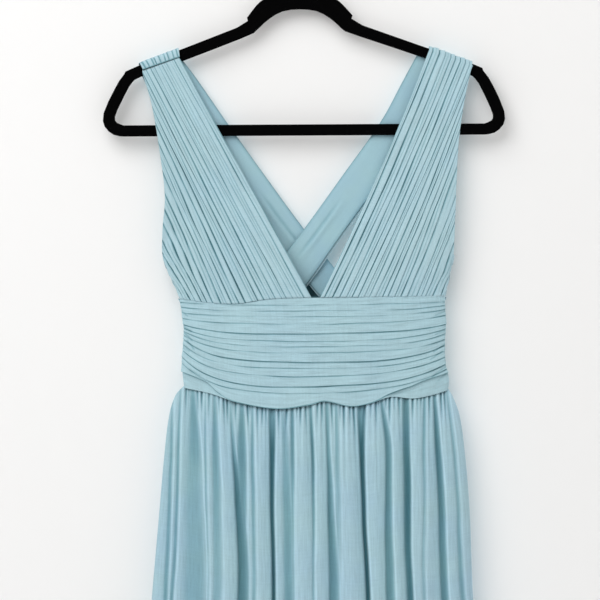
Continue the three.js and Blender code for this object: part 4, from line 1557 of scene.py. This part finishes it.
@dataclass
class Studio:
    """Pale wall close behind the dress, a pale floor below its hem, and soft light from the upper left."""

    wall_y: float = 0.010
    wall_lean: float = 0.0284
    floor_z: float = -1.668
    wall_colour: tuple[float, float, float] = (0.877, 0.877, 0.877)

    def surface(self, name: str, corners: Sequence[tuple[float, float, float]], one_sided: bool) -> None:
        """Makes one flat stage surface.

        Args:
            name: its name.
            corners: its four corners in metres.
            one_sided: whether it is clear from behind, so that the dress's back can be looked at.
        """
        mesh = bpy.data.meshes.new(name)
        mesh.from_pydata([tuple(c) for c in corners], [], [(0, 1, 2, 3)])
        mesh.update()
        material, shader = new_material(name, {"Roughness": 0.9, "Specular IOR Level": 0.1})
        tree = material.node_tree
        shader.inputs["Base Color"].default_value = (*self.wall_colour, 1.0)
        if one_sided:
            geometry = tree.nodes.new("ShaderNodeNewGeometry")
            clear = tree.nodes.new("ShaderNodeBsdfTransparent")
            blend = tree.nodes.new("ShaderNodeMixShader")
            tree.links.new(geometry.outputs["Backfacing"], blend.inputs[0])
            tree.links.new(shader.outputs[0], blend.inputs[1])
            tree.links.new(clear.outputs[0], blend.inputs[2])
            tree.links.new(blend.outputs[0], tree.nodes["Material Output"].inputs["Surface"])
        mesh.materials.append(material)
        piece = bpy.data.objects.new(name, mesh)
        bpy.context.scene.collection.objects.link(piece)
        if one_sided:
            piece.visible_shadow = False

    def lamp(self, name: str, place: tuple[float, float, float], aim: tuple[float, float, float],
             size: float, power: float, colour: tuple[float, float, float]) -> None:
        """Adds a square area light.

        Args:
            name: its name.
            place: where it stands, in metres.
            aim: the point that it looks at.
            size: the length of its side.
            power: its power in watts.
            colour: its linear colour.
        """
        data = bpy.data.lights.new(name, "AREA")
        data.energy, data.size, data.color = power, size, colour
        lamp = bpy.data.objects.new(name, data)
        way = np.asarray(aim) - np.asarray(place)
        lamp.rotation_mode = "QUATERNION"
        lamp.rotation_quaternion = Vector(way).to_track_quat("-Z", "Y")
        lamp.location = place
        bpy.context.scene.collection.objects.link(lamp)

    def build(self) -> None:
        """Sets the wall, the floor, the lights and the sky's fill."""
        z, top = self.floor_z, 3.0
        low, high = (self.wall_y + self.wall_lean * (0.1 - level) for level in (z, top))
        self.surface("pale_wall", [(-7, low, z), (7, low, z), (7, high, top), (-7, high, top)], True)
        self.surface("pale_floor", [(-9, -9, z), (9, -9, z), (9, 9, z), (-9, 9, z)], False)
        middle = (0.0, 0.0, -0.55)
        self.lamp("window_light", (-1.05, -2.4, 1.5), middle, 2.6, 55.0, (1.0, 0.998, 0.997))
        self.lamp("shoulder_light", (-1.1, -1.5, 0.9), (-0.12, 0.0, -0.15), 1.8, 7.5, (1.0, 1.0, 1.0))
        self.lamp("back_fill", (1.6, 2.6, 0.5), (0.0, 0.0, -0.8), 2.4, 80.0, (1.0, 1.0, 1.0))
        world = bpy.data.worlds.new("Pale room")
        world.use_nodes = True
        background = world.node_tree.nodes["Background"]
        background.inputs[0].default_value = (1.0, 0.985, 0.965, 1.0)
        background.inputs[1].default_value = 0.55
        bpy.context.scene.world = world
        bpy.context.scene.view_settings.view_transform = "Standard"
        LOG.info("studio set")


@dataclass
class PhotoCamera:
    """Camera square to the dress, with the photograph's framing and its slight roll."""

    x: float = -5.5
    z: float = -421.3
    span: float = 665.2
    distance: float = 3000.0
    roll: float = 0.0055
    sensor: float = 36.0

    def build(self) -> None:
        """Places the camera: lens = sensor * distance / span."""
        data = bpy.data.cameras.new("photo_camera")
        data.sensor_width = self.sensor
        data.lens = self.sensor * self.distance / self.span
        data.clip_end = 100.0
        camera = bpy.data.objects.new("photo_camera", data)
        camera.location = (self.x * MM, -self.distance * MM, self.z * MM)
        camera.rotation_euler = (math.pi / 2, self.roll, 0.0)
        bpy.context.scene.collection.objects.link(camera)
        bpy.context.scene.camera = camera


# This dress


# Share of each light left in the deepest folds: the colour that painted shade darkens each finish towards.
FOLD_LIGHT = (0.12, 0.27, 0.29)
CLOTH = ClothFinish("Chiffon crepe", linear(171, 201, 210), linear(168, 199, 211), FOLD_LIGHT, across=0.12)
SKIRT_CLOTH = ClothFinish("Chiffon crepe hanging", linear(168, 199, 209), linear(164, 195, 212),
                          FOLD_LIGHT, lit_share=0.19, down=0.34, across=0.13)
BAND_CLOTH = ClothFinish("Chiffon crepe across", linear(165, 197, 206), linear(162, 194, 205),
                         FOLD_LIGHT, down=0.16, across=0.5)
LINING = ClothFinish("Plain lining", linear(158, 194, 203), linear(152, 188, 204), (0.15, 0.28, 0.3),
                     painted_shade_strength=0.7, grain_height=0.0001, pebble=1500.0, down=0.04, across=0.03,
                     sheen=0.12, roughness=0.7)
# Inner face of the waistband, darkened with painted shadow inside the back's peak in the V.
BAND_INSIDE_SHADED = ClothFinish("Band inside", linear(158, 194, 203), linear(152, 188, 204), (0.03, 0.08, 0.09),
                          down=0.04, across=0.1, mask="painted_gap_shade")

LEFT_PLEATS = Pleats(
    widths=(7, 6, 5, 6.1, 4.2, 6, 5, 6, 5.8, 5.2, 6.8, 6, 7, 5, 5.3, 8, 5.7, 5.1, 6, 4.4, 6, 5),
    lines=(0.5, 0.65, 0.3, 0.3, 0.75, 0.4, 0.45, 0.8, 0.75, 1.05, 0.5, 1.4, 0.85, 0.95, 0.45, 0.9, 1.05, 1.1,
           1.15, 0.85, 1.25, 0.7),
    lean=(0.1, -0.1, 0.2, -0.15, 0.15, 0.0, 0.2, 0.05, -0.2, 0.15, 0.0, 0.25, -0.1, 0.2, 0.0, 0.15, -0.1, 0.2,
          -0.1, 0.1, 0.0, 0.1),
)
RIGHT_PLEATS = Pleats(
    widths=(4, 8, 7, 6.8, 5.3, 6, 6, 5.1, 6, 7, 5, 7, 5.8, 6.3, 9.5, 4.6, 4, 7, 8, 5),
    lines=(0.5, 1.0, 0.9, 0.45, 0.5, 0.75, 0.8, 0.35, 0.45, 0.6, 0.8, 0.7, 0.4, 0.7, 0.5, 0.4, 0.35, 0.5,
           0.6, 0.8),
    lean=(0.0, 0.15, -0.1, 0.2, 0.0, -0.15, 0.15, 0.0, 0.2, 0.05, -0.15, 0.2, 0.0, 0.15, 0.1, 0.0, 0.15, -0.1,
          0.15, 0.0),
)

# Each row: drop in the middle, rise at the left seam, rise at the right one, reach there, line
FRONT_TUCKS = tuple(Tuck(*row) for row in (
    (7.6, 3.5, 3.0, 36, 0.1), (14.3, 4.6, 5.8, 36, 0.15), (20.4, 4.6, 7.4, 36, 0.1),
    (28.7, 6.3, 9.6, 36, 0.3), (39.8, 10.0, 10.6, 40, 0.85), (48.1, 14.0, 14.1, 36, 0.3),
    (54.2, 16.2, 14.6, 36, 0.2), (60.9, 18.4, 15.2, 36, 0.3), (71.6, 24.2, 19.5, 36, 1.0),
    (78.6, 25.1, 20.2, 40, 0.25), (87.5, 27.3, 22.4, 45, 0.5), (99.7, 31.7, 26.8, 50, 0.95),
    (106.9, 32.3, 28.5, 52, 0.4),
))
# Each row: where it starts and where it ends, each as X and drop, and its depth
FRONT_CRUMPLES = tuple(Crumple(*row) for row in (
    ((-138, 12), (-130, 19), 0.8), ((-134, 31), (-126, 36), 0.9), ((-133, 38), (-125, 46), 0.9),
    ((-130, 46), (-123, 56), 0.9), ((-134, 54), (-128, 58), 0.7), ((-127, 79), (-117, 85), 0.6),
    ((156, 15), (144, 20), 0.7), ((155, 36), (144, 41), 0.7), ((154, 52), (142, 60), 0.8),
    ((151, 60), (138, 69), 0.8), ((155, 77), (140, 88), 0.8), ((156, 84), (145, 94), 0.7),
    ((146, 100), (127, 103), 0.5), ((96, 106), (118, 103), 0.4),
))
BACK_TUCKS = tuple(Tuck(*row) for row in (
    (9, 3, 3, 36, 0.2), (17.5, 5, 6, 36, 0.5), (28, 8, 8, 38, 0.3), (37, 11, 11, 36, 0.8),
    (47, 13, 14, 38, 0.3), (55, 16, 15, 36, 0.4), (65, 20, 18, 38, 0.9), (74, 22, 20, 40, 0.3),
    (84, 24, 22, 42, 0.5), (94, 26, 24, 46, 0.8), (103, 28, 26, 48, 0.4),
))
BACK_CRUMPLES = tuple(Crumple(*row) for row in (
    ((-134, 22), (-124, 30), 0.8), ((-133, 44), (-121, 56), 0.8), ((-130, 66), (-117, 78), 0.7),
    ((155, 26), (141, 34), 0.7), ((154, 49), (138, 60), 0.8), ((153, 71), (134, 86), 0.7),
))

# Each row: the left edge, the right edge and the depth at FOLD_DROPS, and the softness of each edge
FRONT_FOLDS = tuple(Fold(*row) for row in (
    ((-148.6, -150.0, -152.0, -157.0, -217.9), (-147.0, -147.2, -148.7, -152.6, -206.3),
     (2, 3, 3, 3, 7), (1.5, 1.5)),
    ((-139.2, -141.7, -143.7, -149.3, -205.3), (-137.6, -139.5, -140.9, -145.9, -197.2),
     (3, 3.2, 3, 3, 7), (1.6, 0.8)),
    ((-127.0, -129.5, -133.1, -136.0, -190.4), (-122.6, -117.3, -114.3, -111.6, -160.8),
     (5, 4.5, 4, 4, 8), (3.5, 3)),
    ((-111.5, -112.0, -111.2, -109.6, -154.7), (-109.8, -110.1, -109.3, -108.2, -149.6),
     (2, 2.6, 2.2, 2, 4.5), (1.4, 0.7)),
    ((-102.1, -102.9, -103.2, -103.8, -142.4), (-99.3, -96.2, -94.3, -93.8, -125.4),
     (4, 3.6, 2.8, 2.2, 5), (1.5, 3)),
    ((-84.6, -81.5, -78.3, -76.1, -113.5), (-82.3, -78.5, -70.0, -65.0, -89.8),
     (3.5, 5.5, 7, 8.5, 14.8), (0.8, 3.4)),
    ((-72.7, -75.2, -75.5, -73.9, -104.3), (-68.3, -66.3, -66.6, -65.0, -89.0),
     (4, 5, 4, 2.5, 5), (2.2, 1.8)),
    ((-60.0, -60.4, -60.5, -60.6, -81.8), (-57.7, -57.4, -56.6, -56.1, -74.1),
     (3, 3.2, 2.2, 1.8, 5), (1.2, 1.2)),
    ((-41.1, -39.7, -39.5, -38.4, -57.3), (-33.3, -34.2, -35.4, -34.8, -44.9),
     (3.6, 7, 8, 9, 17), (0.9, 0.8)),
    ((-27.2, -26.4, -25.6, -25.1, -35.5), (-23.9, -17.5, -15.6, -15.1, -17.5),
     (3, 2.5, 3.6, 4.2, 8), (2.5, 3.2)),
    ((-16.2, -17.0, -16.7, -17.3, -20.5), (-13.4, -13.1, -12.9, -12.9, -14.9),
     (4.5, 3.6, 2, 1.4, 3), (1.5, 0.8)),
    ((3.8, 5.8, 6.5, 7.1, 5.1), (6.6, 8.5, 8.8, 8.7, 14.5),
     (4, 5.5, 4, 3, 7.8), (1.2, 0.8)),
    ((21.5, 22.9, 23.5, 25.3, 31.5), (25.4, 25.7, 28.7, 35.3, 51.5),
     (4, 5.5, 5.5, 5.5, 9.5), (0.8, 3.2)),
    ((32.1, 32.4, 32.0, 32.6, 43.9), (35.4, 36.8, 37.6, 37.0, 51.5),
     (3, 2.2, 1.4, 1.2, 2.5), (1.2, 2)),
    ((57.0, 59.0, 61.4, 64.7, 82.9), (65.9, 64.5, 65.6, 69.1, 96.5),
     (3.6, 7.5, 9, 9.5, 17), (0.9, 0.8)),
    ((82.5, 87.6, 87.5, 87.4, 116.7), (85.3, 93.3, 94.1, 96.3, 135.0),
     (4.5, 5, 5, 5, 11.0), (0.8, 2.4)),
    ((106.9, 107.2, 108.0, 110.2, 150.0), (114.1, 114.4, 115.2, 116.8, 164.9),
     (4.5, 6, 7, 6.5, 13.2), (1.6, 0.8)),
    ((130.2, 128.8, 128.5, 127.9, 176.5), (132.9, 132.1, 131.8, 131.2, 184.5),
     (4, 2.6, 1.8, 1.6, 3.5), (1.2, 1.6)),
    ((141.3, 142.7, 145.1, 147.9, 196.6), (144.0, 148.2, 151.8, 155.6, 212.2),
     (5, 6, 5.5, 5, 11.0), (0.9, 2)),
    ((155.7, 161.0, 165.1, 168.9, 224.5), (157.9, 163.7, 168.4, 174.5, 234.9),
     (3, 2.6, 2.2, 2.2, 5), (1.5, 1.6)),
))
FRONT_GATHERS = (
    (-132.0, -1, 3.4, 22), (-128.8, -2, 2.4, 16), (-119.8, 2, 3.2, 26), (-114.8, 0, 4.2, 18),
    (-106.5, -1, 3.0, 24),
    (-95.5, -2, 2.6, 18), (-90.7, 3, 3.8, 24), (-86.7, 1, 4.2, 22), (-80.2, 1, 2.8, 14), (-77.1, -1, 4.2, 20),
    (-64.4, 3, 4.4, 22), (-61.5, 1, 3.0, 14), (-53.3, 1, 3.6, 26), (-50.5, 0, 2.4, 14), (-47.7, -1, 4.4, 18),
    (-44.1, 1, 3.4, 22), (-37.5, 0, 3.8, 16), (-30.0, 1, 4.0, 24), (-20.8, -2, 4.4, 26), (-9.5, 0, 2.8, 16),
    (-5.5, -1, 4.4, 20), (-0.3, 3, 3.6, 28), (3.0, 2, 2.6, 14), (13.2, -1, 3.8, 22), (17.7, 1, 4.6, 24),
    (28.5, 2, 4.2, 28), (31.0, 1, 2.8, 14), (38.2, -1, 2.8, 20), (42.0, 1, 4.6, 26), (48.7, 1, 3.6, 20),
    (52.6, 3, 4.6, 34), (60.0, 2, 3.4, 18), (65.6, -3, 4.6, 34), (72.0, 0, 2.8, 18), (77.5, 1, 4.0, 24),
    (80.5, 2, 3.0, 14), (88.6, 0, 3.4, 18), (93.0, -1, 4.6, 26), (98.1, 1, 3.0, 18), (103.0, 2, 4.2, 22),
    (110.4, 1, 3.4, 16), (118.6, -1, 4.0, 22), (123.6, 1, 2.8, 18), (127.5, 1, 3.4, 14), (136.9, 0, 3.6, 22),
    (149.7, 2, 4.0, 22), (153.5, 4, 3.4, 26),
)
BACK_FOLDS = tuple(Fold(*row) for row in (
    ((-123, -135, -144, -152, -212), (-117, -128, -135, -140, -194), (2.4, 2.6, 3.2, 3.4, 10), (0.9, 3.2)),
    ((-100, -108, -114, -118, -167), (-94, -102, -106, -108, -149), (3.4, 3.6, 5, 5, 12), (2.6, 0.9)),
    ((-73, -79, -85, -89, -120), (-67, -72, -77, -79, -104), (2.8, 2.6, 3.4, 3.4, 9), (0.9, 3.2)),
    ((-47, -49, -52, -54, -80), (-41, -43, -44, -44, -60), (3.6, 5.3, 7.6, 7.6, 16), (0.9, 1.6)),
    ((-17, -17, -19, -20, -36), (-11, -11, -11, -10, -20), (2.8, 2.4, 3.2, 3.2, 9), (2.6, 0.9)),
    ((9, 11, 11, 11, 5), (15, 17, 19, 21, 23), (3.4, 4.2, 5.6, 5.6, 13), (0.9, 2.4)),
    ((38, 41, 42, 42, 52), (44, 48, 50, 52, 68), (2.8, 2.4, 3.4, 3.4, 10), (0.9, 3.2)),
    ((65, 69, 72, 73, 94), (71, 77, 80, 83, 116), (3.8, 5.3, 7.4, 7.4, 16), (1.6, 0.9)),
    ((95, 100, 102, 103, 142), (101, 107, 110, 113, 158), (2.8, 2.6, 3.4, 3.4, 10), (0.9, 3.2)),
    ((124, 132, 136, 137, 188), (130, 139, 144, 147, 208), (3.4, 3.4, 4.6, 4.6, 11), (2.6, 0.9)),
))


def spread_gathers(first: float, last: float, count: int, seed: int) -> tuple[Gather, ...]:
    """Short gathers for a hidden side: even places, each moved, deepened and lengthened by the seed.

    Args:
        first: place of the first one.
        last: place of the last one.
        count: how many there are.
        seed: fixes the unevenness.

    Returns:
        Rows of place, drift, depth and length.
    """
    rng = np.random.default_rng(seed)
    place = np.linspace(first, last, count) + rng.uniform(-2.0, 2.0, count)
    drift, depth = rng.uniform(-2, 2, count), rng.uniform(2.6, 4.6, count)
    length = rng.uniform(16, 32, count)
    return tuple(zip(place.tolist(), drift.tolist(), depth.tolist(), length.tolist()))


def main() -> None:
    """Builds the dress, dresses the hanger and sets the studio."""
    logging.basicConfig(level=logging.INFO, format="%(name)s: %(message)s")
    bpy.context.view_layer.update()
    effects = Effects()
    cloth, lining = CLOTH.make(effects), LINING.make(effects)
    ruched, inside = BAND_CLOTH.make(effects), BAND_INSIDE_SHADED.make(effects)
    hanging = SKIRT_CLOTH.make(effects)
    PhotoCamera().build()
    BodiceFront(Side.LEFT, -138.2, 7.3, 0.0, LEFT_PLEATS, 0.4, cloth).build()
    BodiceFront(Side.RIGHT, 139.1, 16.6, 4.0, RIGHT_PLEATS, 0.42, cloth).build()
    for side in Side:
        strap = BackStrap(side, cloth, lining)
        strap.build_strap()
        strap.build_lining()
    Waistband(Facing.FRONT, FRONT_TUCKS, FRONT_CRUMPLES, ruched, inside).build()
    Waistband(Facing.BACK, BACK_TUCKS, BACK_CRUMPLES, ruched, inside, columns=120).build()
    SkirtPanel(Facing.FRONT, FRONT_FOLDS, FRONT_GATHERS, hanging).build()
    behind = spread_gathers(-126, 148, 42, 81)
    SkirtPanel(Facing.BACK, BACK_FOLDS, behind, hanging, columns=360, rows=84).build()
    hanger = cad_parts["hanger_frame"]
    hanger.data.materials.clear()
    hanger.data.materials.append(FlockFinish().make())
    LOG.info("hanger_frame: flocked, %d faces", len(hanger.data.polygons))
    Hook().build(SteelFinish().make())
    Studio().build()
    bpy.context.view_layer.update()


if __name__ == "__main__":
    main()
